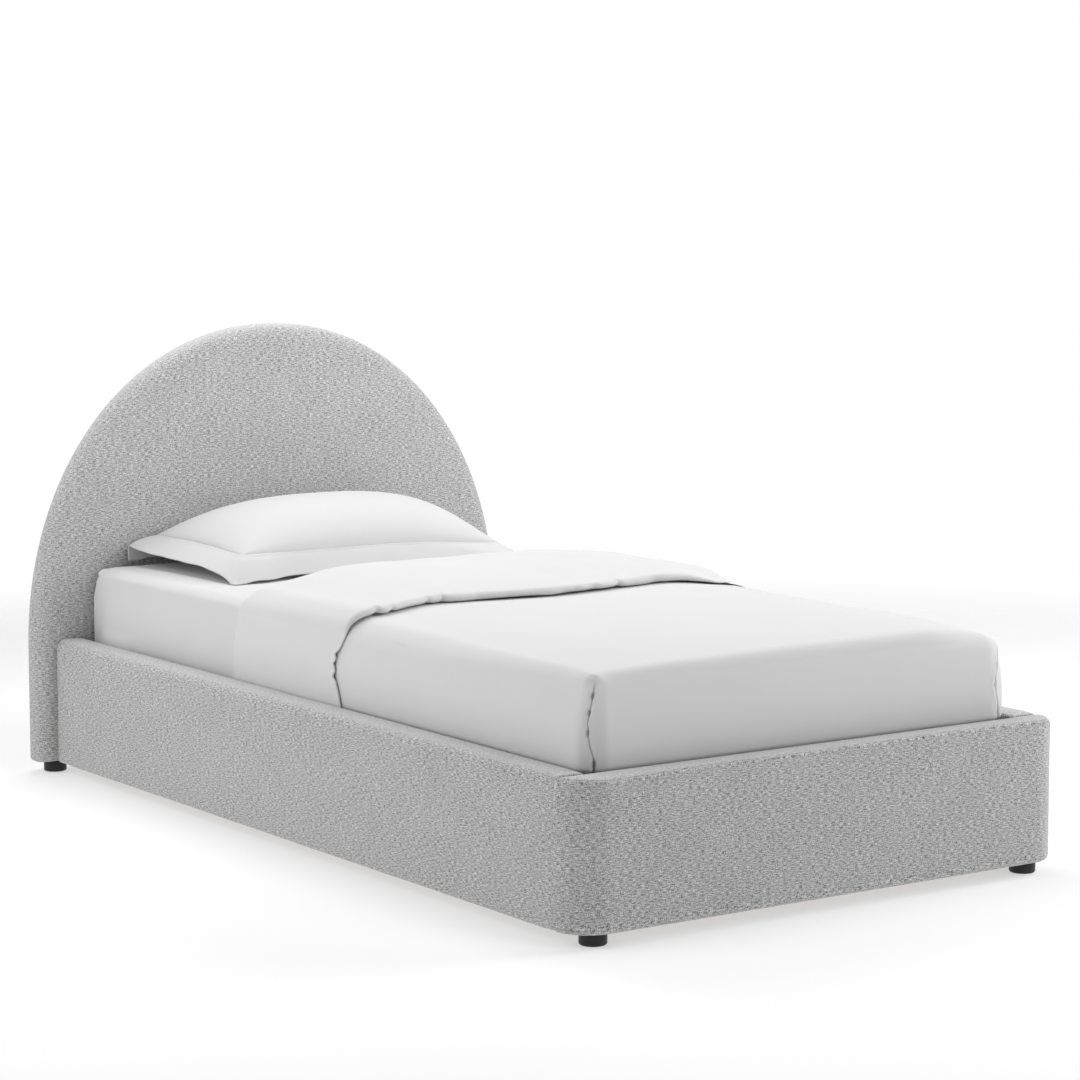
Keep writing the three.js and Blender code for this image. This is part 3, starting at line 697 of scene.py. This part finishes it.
def block_surface(low, high, radii_at, tiers=BLOCK_TIERS, rise=0.0042):
    """A dense open-bottomed rounded block: its points, quads and outward directions.

    radii_at gives the edge radius along x, y and z at each point of the sharp block.
    """
    xs = graded(low[0], high[0], tiers)
    ys = graded(low[1], high[1], tiers)
    zs = np.linspace(low[2], high[2], int((high[2] - low[2]) / rise) + 1)
    index, points, faces = {}, [], []

    def vertex(x, y, z):
        key = (round(x, 6), round(y, 6), round(z, 6))
        if key not in index:
            index[key] = len(points)
            points.append((x, y, z))
        return index[key]

    def add_side(us, vs, place):
        for a in range(len(us) - 1):
            for b in range(len(vs) - 1):
                quad = ((a, b), (a + 1, b), (a + 1, b + 1), (a, b + 1))
                faces.append([vertex(*place(us[p], vs[q])) for p, q in quad])

    add_side(xs, ys, lambda x, y: (x, y, zs[-1]))
    add_side(xs, zs, lambda x, z: (x, ys[0], z))
    add_side(xs[::-1], zs, lambda x, z: (x, ys[-1], z))
    add_side(ys, zs, lambda y, z: (xs[-1], y, z))
    add_side(ys[::-1], zs, lambda y, z: (xs[0], y, z))
    points = np.array(points)
    low, high = np.array(low), np.array(high)
    radii = radii_at(points)
    core = np.column_stack([
        np.clip(points[:, 0], low[0] + radii[:, 0], high[0] - radii[:, 0]),
        np.clip(points[:, 1], low[1] + radii[:, 1], high[1] - radii[:, 1]),
        np.minimum(points[:, 2], high[2] - radii[:, 2]),
    ])
    offset = points - core
    length = np.maximum(np.linalg.norm(offset / radii, axis=1), 1e-9)[:, None]
    rounded = core + offset / length
    direction = offset / radii**2
    direction = direction / np.linalg.norm(direction, axis=1)[:, None]
    return rounded, faces, direction


def thicken(piece, thickness, offset=-1):
    """Gives open cloth a thickness, inwards unless offset is 0, which shares it between both faces."""
    solid = piece.modifiers.new("cloth_thickness", "SOLIDIFY")
    solid.thickness = thickness
    solid.offset = offset


# ================= mattress and sheet =================
def build_mattress():
    low, high = MATTRESS_LOW, MATTRESS_HIGH - Vector((0, HEAD_CLEARANCE, 0))
    outline = rounded_rectangle(low.x, high.x, low.y, high.y, [0.024] * 4, 7, every(0.03))
    normal = outward_normals(outline)
    around = path_length(outline)
    profile = []
    for share in np.linspace(0.05, 1, 12)[:-1]:
        profile.append((0.46 * (1 - share) + 0.02, 0.0))
    height = high.z - low.z
    edge = [(0.0170, 0.0020), (0.0110, 0.0045), (0.0085, 0.0080), (0.0060, 0.0105), (0.0045, 0.0135),
            (0.0060, 0.0165), (0.0075, 0.0195), (0.0050, 0.0260)]
    profile += edge
    profile += [(0.003, height * t) for t in np.linspace(0.2, 0.8, 7)]
    profile += [(inset, height - z) for inset, z in reversed(edge)]
    for share in np.linspace(0.05, 1, 12)[:-1][::-1]:
        profile.append((0.46 * (1 - share) + 0.02, height))
    rings, uvs = [], []
    centre = np.array([0.0, (low.y + high.y) / 2])
    for inset, z in profile:
        ring = outline - normal * min(inset, 0.02)
        if inset > 0.02:
            ring = scaled(ring, centre, 1 - (inset - 0.02) / 0.5)
        rings.append(ring_at(ring, low.z + z))
        uvs.append(pair(around, z))
    mattress = loft("mattress_core", rings, uvs, TICKING)
    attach(mattress, MATTRESS_BODY)
    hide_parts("mattress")


def build_sheet():
    low = [SHEET_LOW.x, SHEET_LOW.y, SHEET_LOW.z - 0.002]
    high = [SHEET_HIGH.x, SHEET_HIGH.y - HEAD_CLEARANCE, SHEET_HIGH.z + 0.0003]

    def radii_at(points):
        lower = smooth(0.0, 0.08, high[2] - points[:, 2])
        at_head = smooth(0.88, 0.965, points[:, 1])
        plan = 0.034 - 0.018 * lower + 0.012 * at_head * (1 - lower)
        return np.column_stack([plan, plan, 0.018 + 0.013 * at_head])

    points, faces, out = block_surface(low, high, radii_at, ((0.045, 0.0030), (1.0, 0.0090)), 0.0040)
    free = 1 - smooth(0.2, 0.6, out[:, 1])
    near_edge = np.exp(-((high[2] - points[:, 2]) / 0.05) ** 2)
    sideways = np.abs(out[:, 0]) * smooth(0.962, 0.86, points[:, 1])
    pull = 0.0026 * value_noise(points * [1, 1, 0.5], 0.085, 41) * near_edge
    pull *= 1 - 0.9 * smooth(0.5, 1.0, out[:, 2])
    pull += 0.0004 * value_noise(points, 0.05, 42)
    at_rail = smooth(0.345, 0.315, points[:, 2]) * smooth(0.70, 0.80, points[:, 1])
    pull += sideways * (0.0115 * smooth(0.455, 0.33, points[:, 2]) + 0.0055 * at_rail)
    pull -= 0.018 * sideways * smooth(0.300, 0.280, points[:, 2])
    points = points + out * (pull * free)[:, None]
    sheet = add_mesh("fitted_sheet_cloth", points, faces, SHEET_COTTON)
    thicken(sheet, 0.0008)
    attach(sheet, MATTRESS_BODY)
    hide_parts("fitted_sheet")


# ================= duvet =================
DUVET_HALF = 0.4985
DUVET_BASE = 0.256
DUVET_REAR = 0.268
CORNER_SEAMS = {
    -1: ([0.304, 0.324, 0.345, 0.375, 0.400, 0.427, 0.450, 0.472],
         [0.4915, 0.4930, 0.4985, 0.5030, 0.5000, 0.4950, 0.4920, 0.4900]),
    1: ([0.304, 0.339, 0.360, 0.384, 0.410, 0.440, 0.472],
        [0.4900, 0.4840, 0.4760, 0.4750, 0.4830, 0.4870, 0.4860]),
}
SEAM_KNOTS = (0.316, 0.373, 0.409, 0.440)


def duvet_radii(points):
    """Edge radii of the duvet: soft along the sides, tight at the seams of its two foot corners."""
    x, y, z = points.T
    corner = smooth(0.0, 0.10, DUVET_TOP - z)
    to_foot = smooth(-0.30, -0.85, y)
    along_x = 0.055 - 0.023 * to_foot
    along_z = 0.045 - 0.020 * to_foot
    near_seam = np.exp(-((x + 0.487) / 0.020) ** 2) * smooth(-0.90, -0.95, y)
    right_end = smooth(0.30, 0.45, x) * smooth(-0.60, -0.90, y)
    along_x += 0.026 * right_end
    along_z = (along_z + 0.018 * right_end) * (1 - 0.6 * near_seam)
    along_x = along_x + (0.040 - along_x) * corner * smooth(-0.85, -0.93, y)
    along_y = 0.030 * (1 - 0.3 * near_seam * (1 - corner)) + 0.010 * corner
    return np.column_stack([along_x, along_y, along_z])


def duvet_skin(points, out):
    """How far the stuffed duvet stands proud of the plain block, along its outward direction."""
    x, y, z = points.T
    top = smooth(0.3, 0.95, out[:, 2])
    inside = smooth(0.0, 0.9, np.minimum(2 * (1 - np.abs(x) / DUVET_HALF), 1.0))
    crown = top * inside * (0.009 + 0.004 * smooth(0.0, 0.35, x))
    droop = -0.010 * top * np.exp(-((x - 0.49) ** 2 + (y + 0.98) ** 2) / 0.012)
    upright = 1 - smooth(0.1, 0.6, out[:, 2])
    bulge = 0.0125 * smooth(0.455, 0.36, z) * upright * (1 - 0.9 * smooth(0.3, 0.9, -out[:, 1]))
    tuck = -0.018 * smooth(0.3055, 0.288, z)
    flat = points * [1, 1, 0.5]
    rolling = 0.0035 * value_noise(flat, 0.30, 51) + 0.0012 * value_noise(flat, 0.11, 52)
    return crown + droop + bulge + tuck + rolling * (0.30 + 0.70 * top)


def carve_corner_seams(points, out):
    """The wandering seam at each foot corner, cut deep where the stitching gathers the cloth."""
    x, z = points[:, 0], points[:, 2]
    front = smooth(0.25, 0.6, -out[:, 1]) * smooth(0.262, 0.275, z) * (1 - smooth(0.450, 0.474, z))
    for side, (heights, places) in CORNER_SEAMS.items():
        seam = side * (np.interp(z, heights, places) - 0.0045)
        seam += 0.0008 * value_noise(z[:, None], 0.010, 63)
        distance = (x - seam) * side
        knots = sum(np.exp(-((z - height) / 0.0055) ** 2) for height in SEAM_KNOTS)
        low_end = np.exp(-((z - 0.300) / 0.018) ** 2)
        width = 0.0010 + 0.0018 * np.minimum(knots, 1) + 0.0014 * low_end
        groove = np.exp(-(distance / width) ** 2)
        lip = np.exp(-((np.abs(distance) - 0.0055) / 0.0040) ** 2)
        reach = front * (1 - smooth(0.425, 0.445, z)) if side > 0 else front
        depth = (groove * (0.0042 + 0.010 * knots + 0.007 * low_end) - 0.0012 * lip) * reach
        points = points - out * depth[:, None]
    return points


def build_duvet():
    low = [-DUVET_HALF, DUVET_FRONT + 0.0015, DUVET_BASE]
    high = [DUVET_HALF, DUVET_REAR, DUVET_TOP]
    points, faces, out = block_surface(low, high, duvet_radii)
    points = points + out * duvet_skin(points, out)[:, None]
    points = carve_corner_seams(points, out)
    cloth = add_mesh("duvet_body", points, faces, DUVET_COTTON)
    thicken(cloth, 0.0025)
    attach(cloth, MATTRESS_BODY)
    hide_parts("duvet")


def across_profile(half, radius_x, radius_z, hem, top, spacing):
    """Points and outward directions of an upside-down U in x and z, from left hem to right hem."""
    side = np.arange(hem, top - radius_z, spacing)
    turn = np.linspace(0, math.pi / 2, 26)
    flat = np.linspace(-half + radius_x, half - radius_x, int(2 * (half - radius_x) / spacing))
    left = pair(-half, side)
    left_arc = pair(-half + radius_x - radius_x * np.cos(turn), top - radius_z + radius_z * np.sin(turn))
    roof = pair(flat[1:-1], top)
    points = np.concatenate([left, left_arc, roof, mirrored(left_arc), mirrored(left)])
    arc_out = pair(-np.cos(turn) / radius_x, np.sin(turn) / radius_z)
    arc_out /= np.linalg.norm(arc_out, axis=1)[:, None]
    out = np.concatenate([
        np.tile([-1.0, 0.0], (len(left), 1)),
        arc_out,
        np.tile([0.0, 1.0], (len(roof), 1)),
        mirrored(arc_out),
        np.tile([1.0, 0.0], (len(left), 1)),
    ])
    return points, out


def eased(values, places, heights, reach):
    """A line through control points, with its corners rounded off over the given reach."""
    offsets = np.linspace(-reach, reach, 9)
    return np.mean([np.interp(values + offset, places, heights) for offset in offsets], axis=0)


# The band's hem: how far round from the left rail, and how far towards the head.
HEM_ROUND = [0.00, 0.06, 0.12, 0.155, 0.20, 0.245, 0.29, 0.36, 0.44, 0.52, 0.70, 0.82, 0.92, 1.02,
             1.10, 1.20, 1.45]
HEM_PLACE = [-0.160, -0.144, -0.121, -0.127, -0.154, -0.168, -0.160, -0.132, -0.114, -0.117, -0.155,
             -0.154, -0.141, -0.150, -0.166, -0.208, -0.212]
# Gathers in the hem: how far round, how wide and how high.
PUCKERS = [
    (0.262, 0.010, 0.0060), (0.302, 0.007, 0.0034), (0.408, 0.009, 0.0042), (0.448, 0.007, 0.0040),
    (0.735, 0.030, 0.0030), (0.800, 0.012, 0.0034), (0.868, 0.009, 0.0040), (0.150, 0.006, 0.0040),
    (0.105, 0.006, 0.0038), (0.130, 0.005, 0.0030), (0.975, 0.016, 0.0020), (1.13, 0.010, 0.0030),
]


def build_turned_back_band():
    """The duvet's head end, folded back over itself: a roll at the rear and a hem in front."""
    base, out = across_profile(DUVET_HALF, 0.055, 0.045, DUVET_BASE + 0.004, DUVET_TOP, 0.0035)
    count = len(base)
    walk = np.concatenate([[0.0], np.cumsum(np.linalg.norm(np.diff(base, axis=0), axis=1))])
    aside = np.abs(base[:, 0]) / DUVET_HALF
    on_top = smooth(0.2, 0.95, out[:, 1])
    middle = on_top * smooth(0.0, 0.60, 1 - aside) * (1 - 0.22 * smooth(0.05, 0.40, base[:, 0]))
    to_right = smooth(0.34, 0.45, base[:, 0])

    def ripple(scale, seed):
        return value_noise(walk[:, None], scale, seed)

    hem_line = eased(walk, HEM_ROUND, HEM_PLACE, 0.024)
    hem_line += 0.0018 * ripple(0.060, 71) + 0.0014 * ripple(0.016, 72)
    rear_line = 0.288 + 0.004 * ripple(0.12, 73) - 0.012 * smooth(0.6, 1.0, on_top)
    hem_thick = 0.0045 + 0.0155 * on_top + 0.0012 * ripple(0.05, 74)
    rear_thick = 0.0045 + on_top * (0.0085 + 0.011 * smooth(0.28, 0.42, base[:, 0])) + 0.030 * middle
    hem_gap = 0.0004 + 0.0034 * on_top * (1 - 0.9 * to_right) * (1 + 0.6 * ripple(0.07, 77))
    rear_drop = 0.0040 + 0.0190 * on_top
    pull = sum(height * np.exp(-((walk - place) / width) ** 2) for place, width, height in PUCKERS)
    hem_line += 0.9 * pull

    rings, uvs = [], []
    for k in range(count):
        hem, rear, thick_h, thick_r = hem_line[k], rear_line[k], hem_thick[k], rear_thick[k]
        drop = rear_drop[k]
        bulge = 0.35 * (thick_r + drop) + 0.004
        loop = []
        for share in np.linspace(0, 1, 30):
            y = hem + 0.006 + (rear - bulge - hem - 0.008) * share**1.6
            loop.append((y, hem_gap[k] * float(smooth(0.034, 0.004, y - hem))))
        loop.append((rear - bulge - 0.001, -drop * 0.5))
        centre = (thick_r - drop) / 2
        for angle in np.linspace(-math.pi / 2, math.pi / 2, 16):
            loop.append((rear - bulge + bulge * math.cos(angle),
                         centre + (thick_r + drop) / 2 * math.sin(angle)))
        for share in np.linspace(1, 0, 60)[1:]:
            y = hem + 0.5 * thick_h + (rear - bulge - hem - 0.5 * thick_h) * share**1.3
            puff = 0.006 * middle[k] * math.sin(math.pi * share)
            level = thick_r + (thick_h - thick_r) * (1 - share) ** 0.9
            level *= 1 - 0.93 * to_right[k] * float(smooth(0.15, 0.0, y - hem))
            loop.append((y, level + puff))
        front_thick = thick_h * (1 - 0.93 * to_right[k])
        for angle in np.linspace(math.pi / 2, -math.pi / 2, 11)[1:-1]:
            loop.append((hem + 0.5 * front_thick * (1 - math.cos(angle)),
                         hem_gap[k] + 0.5 * (front_thick - hem_gap[k]) * (1 + math.sin(angle))))
        loop = np.array(loop)
        near_hem = np.clip(1 - (loop[:, 0] - hem) / 0.030, 0, 1) ** 2
        loop[:, 1] += pull[k] * near_hem
        place = np.column_stack([
            np.full(len(loop), base[k, 0]), loop[:, 0], np.full(len(loop), base[k, 1])])
        way = np.tile([out[k, 0], 0.0, out[k, 1]], (len(loop), 1))
        lift = duvet_skin(place, way) + 0.0012 + loop[:, 1]
        rings.append(place + way * lift[:, None])
        uvs.append(pair(walk[k], np.linspace(0, 0.9, len(loop) + 1)))
    rings = np.array(rings)
    flat = rings.reshape(-1, 3)
    upper = smooth(0.0, 0.008, flat[:, 2] - 0.486)
    soft = 0.0030 * value_noise(flat * [1, 1, 0.5], 0.17, 75) + 0.0012 * value_noise(flat, 0.06, 76)
    flat[:, 2] += soft * upper
    band = loft("duvet_turned_back_band", rings[::-1], uvs[::-1], DUVET_COTTON)
    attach(band, MATTRESS_BODY)


# ================= pillow =================
PILLOW_HALF = 0.338
PILLOW_FRONT = 0.555
PILLOW_BACK = 0.958
CLOTH_GRID = 0.005
CLOTH_PRESSURE = 3.0
CLOTH_FRAMES = 20
CLOTH_CAP = 0.008  # the furthest that swelling may move a point
SLACK_START = 0.985  # share of its rise that the pillow has before it is swelled
PILLOW_RISE = 0.093
PILLOW_ROWS = 70
PILLOW_COLUMNS = 100
FLANGE_STEPS = (121, 81)
BODY_FLOOR = SHEET_HIGH.z + 0.0016
FLANGE_FLOOR = SHEET_HIGH.z + 0.0026


def pillow_surface():
    """The stuffed body of the sham, closed along its seam."""
    mid_y = (PILLOW_FRONT + PILLOW_BACK) / 2
    half_y = (PILLOW_BACK - PILLOW_FRONT) / 2
    u = np.sin(np.linspace(-math.pi / 2, math.pi / 2, PILLOW_COLUMNS))
    v = np.sin(np.linspace(-math.pi / 2, math.pi / 2, PILLOW_ROWS))
    grid_u, grid_v = np.meshgrid(u, v, indexing="ij")
    pinch = 0.012
    x = PILLOW_HALF * grid_u * (1 - pinch * (1 - grid_v**2) * grid_u**2)
    y = mid_y + half_y * grid_v * (1 - pinch * (1 - grid_u**2) * grid_v**2)
    body = np.clip((1 - np.abs(grid_u) ** 2.6) * (1 - np.abs(grid_v) ** 2.3), 0, 1) ** 0.55
    seam = seam_height(x, y)
    top = seam + PILLOW_RISE * SLACK_START * body
    bottom = np.maximum(seam - 0.066 * body, BODY_FLOOR)
    return x, y, top, bottom


def seam_height(x, y):
    along = smooth(PILLOW_FRONT, 0.80, y)
    return 0.526 + 0.007 * along - 0.016 * smooth(0.05, 0.34, x) * (1 - along)


def build_pillow_body():
    x, y, top, bottom = pillow_surface()
    cols, rows = x.shape
    index = np.arange(cols * rows).reshape(cols, rows)
    points = np.concatenate([
        np.stack([x, y, top], axis=-1).reshape(-1, 3), np.stack([x, y, bottom], axis=-1).reshape(-1, 3)])
    faces = []
    below = cols * rows
    edge = np.zeros_like(index, dtype=bool)
    edge[0], edge[-1], edge[:, 0], edge[:, -1] = True, True, True, True
    lower = np.where(edge, index, index + below)
    for i in range(cols - 1):
        for j in range(rows - 1):
            faces.append([index[i, j], index[i + 1, j], index[i + 1, j + 1], index[i, j + 1]])
            faces.append([lower[i, j], lower[i, j + 1], lower[i + 1, j + 1], lower[i + 1, j]])
    used, numbers = np.unique(faces, return_inverse=True)
    faces = numbers.reshape(-1, 4).tolist()
    body = add_mesh("pillow_sham_body", points[used], faces, SHAM_COTTON)
    blow_up(body)
    return body


def applied(piece):
    """Bakes a piece's modifiers into its mesh."""
    graph = bpy.context.evaluated_depsgraph_get()
    mesh = bpy.data.meshes.new_from_object(piece.evaluated_get(graph), depsgraph=graph)
    piece.modifiers.clear()
    piece.data = mesh


def coordinates(mesh):
    flat = np.zeros(3 * len(mesh.vertices))
    mesh.vertices.foreach_get("co", flat)
    return flat.reshape(-1, 3)


def blow_up(piece):
    """Swells a closed piece as cloth under pressure, with its seam held, and keeps the result."""
    remesh = piece.modifiers.new("even_grid", "REMESH")
    remesh.mode = "VOXEL"
    remesh.voxel_size = CLOTH_GRID
    remesh.use_smooth_shade = True
    applied(piece)
    start = coordinates(piece.data)
    edge = np.minimum(PILLOW_HALF - np.abs(start[:, 0]),
                      np.minimum(start[:, 1] - PILLOW_FRONT, PILLOW_BACK - start[:, 1]))
    held = piece.vertex_groups.new(name="seam")
    held.add([int(k) for k in np.nonzero(edge < 0.008)[0]], 1.0, "REPLACE")
    cloth = piece.modifiers.new("cloth", "CLOTH")
    cloth.settings.quality = 5
    cloth.settings.mass = 0.2
    cloth.settings.tension_stiffness = 12
    cloth.settings.compression_stiffness = 12
    cloth.settings.bending_stiffness = 4.0
    cloth.settings.use_pressure = True
    cloth.settings.uniform_pressure_force = CLOTH_PRESSURE
    cloth.settings.vertex_group_mass = "seam"
    cloth.settings.effector_weights.gravity = 0.0
    cloth.point_cache.frame_start = 1
    cloth.point_cache.frame_end = CLOTH_FRAMES
    for frame_number in range(1, CLOTH_FRAMES + 1):
        bpy.context.scene.frame_set(frame_number)
    applied(piece)
    bpy.context.scene.frame_set(1)
    moved = coordinates(piece.data) - start
    reach = np.linalg.norm(moved, axis=1)
    points = start + moved * np.minimum(1.0, CLOTH_CAP / np.maximum(reach, 1e-9))[:, None]
    points[:, 2] = np.maximum(points[:, 2], BODY_FLOOR)
    piece.data.vertices.foreach_set("co", points.ravel())
    piece.vertex_groups.clear()
    finer = piece.modifiers.new("smoothing", "SUBSURF")
    finer.levels = 1
    finer.render_levels = 1
    applied(piece)
    piece.data.materials.clear()
    piece.data.materials.append(SHAM_COTTON)
    piece.data.polygons.foreach_set("use_smooth", [True] * len(piece.data.polygons))


def flange_outline(grow, radius):
    """Points round the pillow's seam, grown outwards by grow, the same number for any grow."""
    return rounded_rectangle(
        -PILLOW_HALF - grow, PILLOW_HALF + grow, PILLOW_FRONT - grow, PILLOW_BACK + grow,
        [radius] * 4, 8, lambda side, length: FLANGE_STEPS[side % 2])


def flange_level(x, y):
    """Height of the flange's free edge above the floor, before its rear is folded down."""
    left = eased(y, [0.500, 0.530, 0.560, 0.630, 0.800, 0.900, 1.0],
                 [0.466, 0.474, 0.484, 0.494, 0.496, 0.504, 0.510], 0.015)
    front = eased(x, [-0.385, -0.335, -0.290, -0.240, -0.10, 0.05, 0.20, 0.32, 0.385],
                  [0.464, 0.477, 0.474, 0.477, 0.481, 0.482, 0.488, 0.484, 0.470], 0.012)
    right = eased(y, [0.500, 0.600, 0.750, 0.900, 1.0], [0.470, 0.488, 0.482, 0.498, 0.504], 0.03)
    near_front = 1 - smooth(0.505, 0.535, y)
    near_left = 1 - smooth(-0.385, -0.355, x)
    near_right = smooth(0.355, 0.385, x)
    near_rear = 0.6 * smooth(0.95, 1.0, y)
    weight = near_front + near_left + near_right + near_rear + 1e-6
    return (front * near_front + left * near_left + right * near_right + 0.515 * near_rear) / weight


def build_flange():
    """The sham's flat border: it droops in front and at the sides and is bent down at the rear."""
    inner = flange_outline(-0.004, 0.020)
    outer = flange_outline(0.049, 0.003)
    in_front = (outer[:, 1] < PILLOW_FRONT) * (1 - smooth(0.22, 0.335, np.abs(outer[:, 0])))
    outer[:, 1] += 0.017 * in_front
    outer[:, 0] -= 0.015 * (outer[:, 0] < -PILLOW_HALF) * smooth(0.72, 0.94, outer[:, 1])
    walk = path_length(outer)[:-1]
    count = len(inner)
    seam_z = seam_height(inner[:, 0], inner[:, 1])
    edge_z = flange_level(*outer.T) + 0.0022 * value_noise(walk[:, None], 0.05, 81)
    wave = 0.0035 * value_noise(walk[:, None], 0.07, 82)
    rows = np.linspace(0, 1, 22)
    bend_y, bend_radius = 0.9665, 0.008
    points = []
    for share in rows:
        plan = inner + (outer - inner) * share
        welt = 0.0016 * math.exp(-((share - 0.10) / 0.035) ** 2)
        welt -= 0.0010 * math.exp(-((share - 0.19) / 0.04) ** 2)
        z = seam_z + (edge_z - seam_z) * share**1.35 + wave * math.sin(math.pi * share) * 0.6 + welt
        beyond = np.maximum(plan[:, 1] - bend_y, 0.0)
        angle = np.minimum(beyond / bend_radius, math.pi / 2)
        straight = np.maximum(beyond - bend_radius * math.pi / 2, 0.0)
        y = np.minimum(plan[:, 1], bend_y) + bend_radius * np.sin(angle)
        z = z - bend_radius * (1 - np.cos(angle)) - straight
        points.append(np.column_stack([plan[:, 0], y, z]))
    points = np.array(points).reshape(-1, 3)
    points[:, 2] = np.maximum(points[:, 2], FLANGE_FLOOR)
    faces = []
    for r in range(len(rows) - 1):
        for i in range(count):
            j = (i + 1) % count
            faces.append([r * count + i, (r + 1) * count + i, (r + 1) * count + j, r * count + j])
    flange = add_mesh("pillow_sham_flange", points, faces, SHAM_COTTON)
    thicken(flange, 0.0022, offset=0)
    return flange


def build_pillow():
    body = build_pillow_body()
    flange = build_flange()
    for piece in (body, flange):
        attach(piece, PILLOW_BODY)
    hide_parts("pillow_sham", "pillow")


# ================= studio =================
def build_studio():
    """A pale floor that fades out into a white surround, the sky, and soft boxes all round."""
    rings, uvs = [], []
    turns = np.linspace(0, 2 * math.pi, 96, endpoint=False)
    for radius in (0.5, 2.0, FLOOR_FADE_START, FLOOR_FADE_END):
        circle = radius * pair(np.cos(turns), np.sin(turns))
        rings.append(ring_at(circle, CAD_LOW.z - 0.0005))
        uvs.append(np.zeros((len(turns) + 1, 2)))
    floor = loft("studio_floor", rings, uvs, floor_material(), cap_high=False)
    build_sky()
    for name, place, target, size, power in SOFT_BOXES:
        add_area(name, place, target, size, power)


def build_sky():
    """White at eye level all round, and dark above that except behind the headboard."""
    world = bpy.data.worlds.new("studio_world")
    world.use_nodes = True
    sky = Nodes(world.node_tree)
    background = sky.tree.nodes["Background"]
    background.inputs["Color"].default_value = (1.0, 1.0, 1.0, 1.0)
    way = sky.add("ShaderNodeTexCoord").outputs["Generated"]
    split = sky.add("ShaderNodeSeparateXYZ")
    sky.join(way, split.inputs["Vector"])
    level = sky.step(split.outputs["Z"], *SKY_EDGE, 1.0, 0.0)
    above = sky.step(split.outputs["Z"], *SKY_EDGE, 0.0, 1.0)
    towards = sky.add("ShaderNodeVectorMath", operation="DOT_PRODUCT")
    towards.inputs[1].default_value = Vector(SKY_GLOW_AXIS).normalized()
    sky.join(way, towards.inputs[0])
    glow = sky.step(towards.outputs["Value"], 0.2, 1.0, 0.0, SKY_GLOW)
    total = sky.math("ADD", level, sky.math("MULTIPLY", glow, above))
    sky.join(total, background.inputs["Strength"])
    bpy.context.scene.world = world


def floor_material():
    """Pale floor paint that turns clear towards the rim, so that no edge or horizon shows."""
    s = Shader("pale_floor", 0.9, specular=0.1)
    tone = s.noise(s.place(None, (1.5, 1.5, 1.5)), detail=2.0)
    s.color(s.ramp(tone, [(0.3, grey(0.50)), (0.7, grey(0.51))]))
    s.surface.inputs["Emission Color"].default_value = (1.0, 1.0, 1.0, 1.0)
    s.surface.inputs["Emission Strength"].default_value = FLOOR_GLOW
    radius = s.add("ShaderNodeVectorMath", operation="LENGTH")
    s.join(s.place(None, (1, 1, 1)), radius.inputs[0])
    fade = s.step(radius.outputs["Value"], FLOOR_FADE_START, FLOOR_FADE_END, 1.0, 0.0)
    s.join(fade, s.surface.inputs["Alpha"])
    return s.material


def set_up(name, data, place, ahead):
    """Puts a lamp or camera at a place, looking ahead."""
    obj = bpy.data.objects.new(name, data)
    obj.location = place
    obj.rotation_euler = ahead.to_track_quat("-Z", "Y").to_euler()
    bpy.context.scene.collection.objects.link(obj)
    return obj


def add_area(name, place, target, size, power):
    light = bpy.data.lights.new(name, "AREA")
    light.shape = "DISK"
    light.size = size
    light.energy = power
    set_up(name, light, place, Vector(target) - Vector(place))


def build_camera():
    yaw, pitch = math.radians(CAMERA_YAW), math.radians(CAMERA_PITCH)
    camera = bpy.data.cameras.new("camera")
    camera.sensor_width = 36.0
    camera.lens = CAMERA_LENS
    camera.clip_end = 200.0
    ahead = Vector((math.sin(yaw) * math.cos(pitch), math.cos(yaw) * math.cos(pitch), -math.sin(pitch)))
    bpy.context.scene.camera = set_up("camera", camera, CAMERA_PLACE, ahead)


finish_cad_nodes()
build_headboard()
build_side_rail(1, "side_rail_cover_right")
build_side_rail(-1, "side_rail_cover_left")
build_foot_rail()
for foot_node in ("front_foot_left", "front_foot_right", "headboard_foot_left", "headboard_foot_right"):
    build_foot(foot_node)
build_mattress()
build_sheet()
build_duvet()
build_turned_back_band()
build_pillow()
build_studio()
build_camera()
bpy.context.scene.view_settings.view_transform = "Standard"
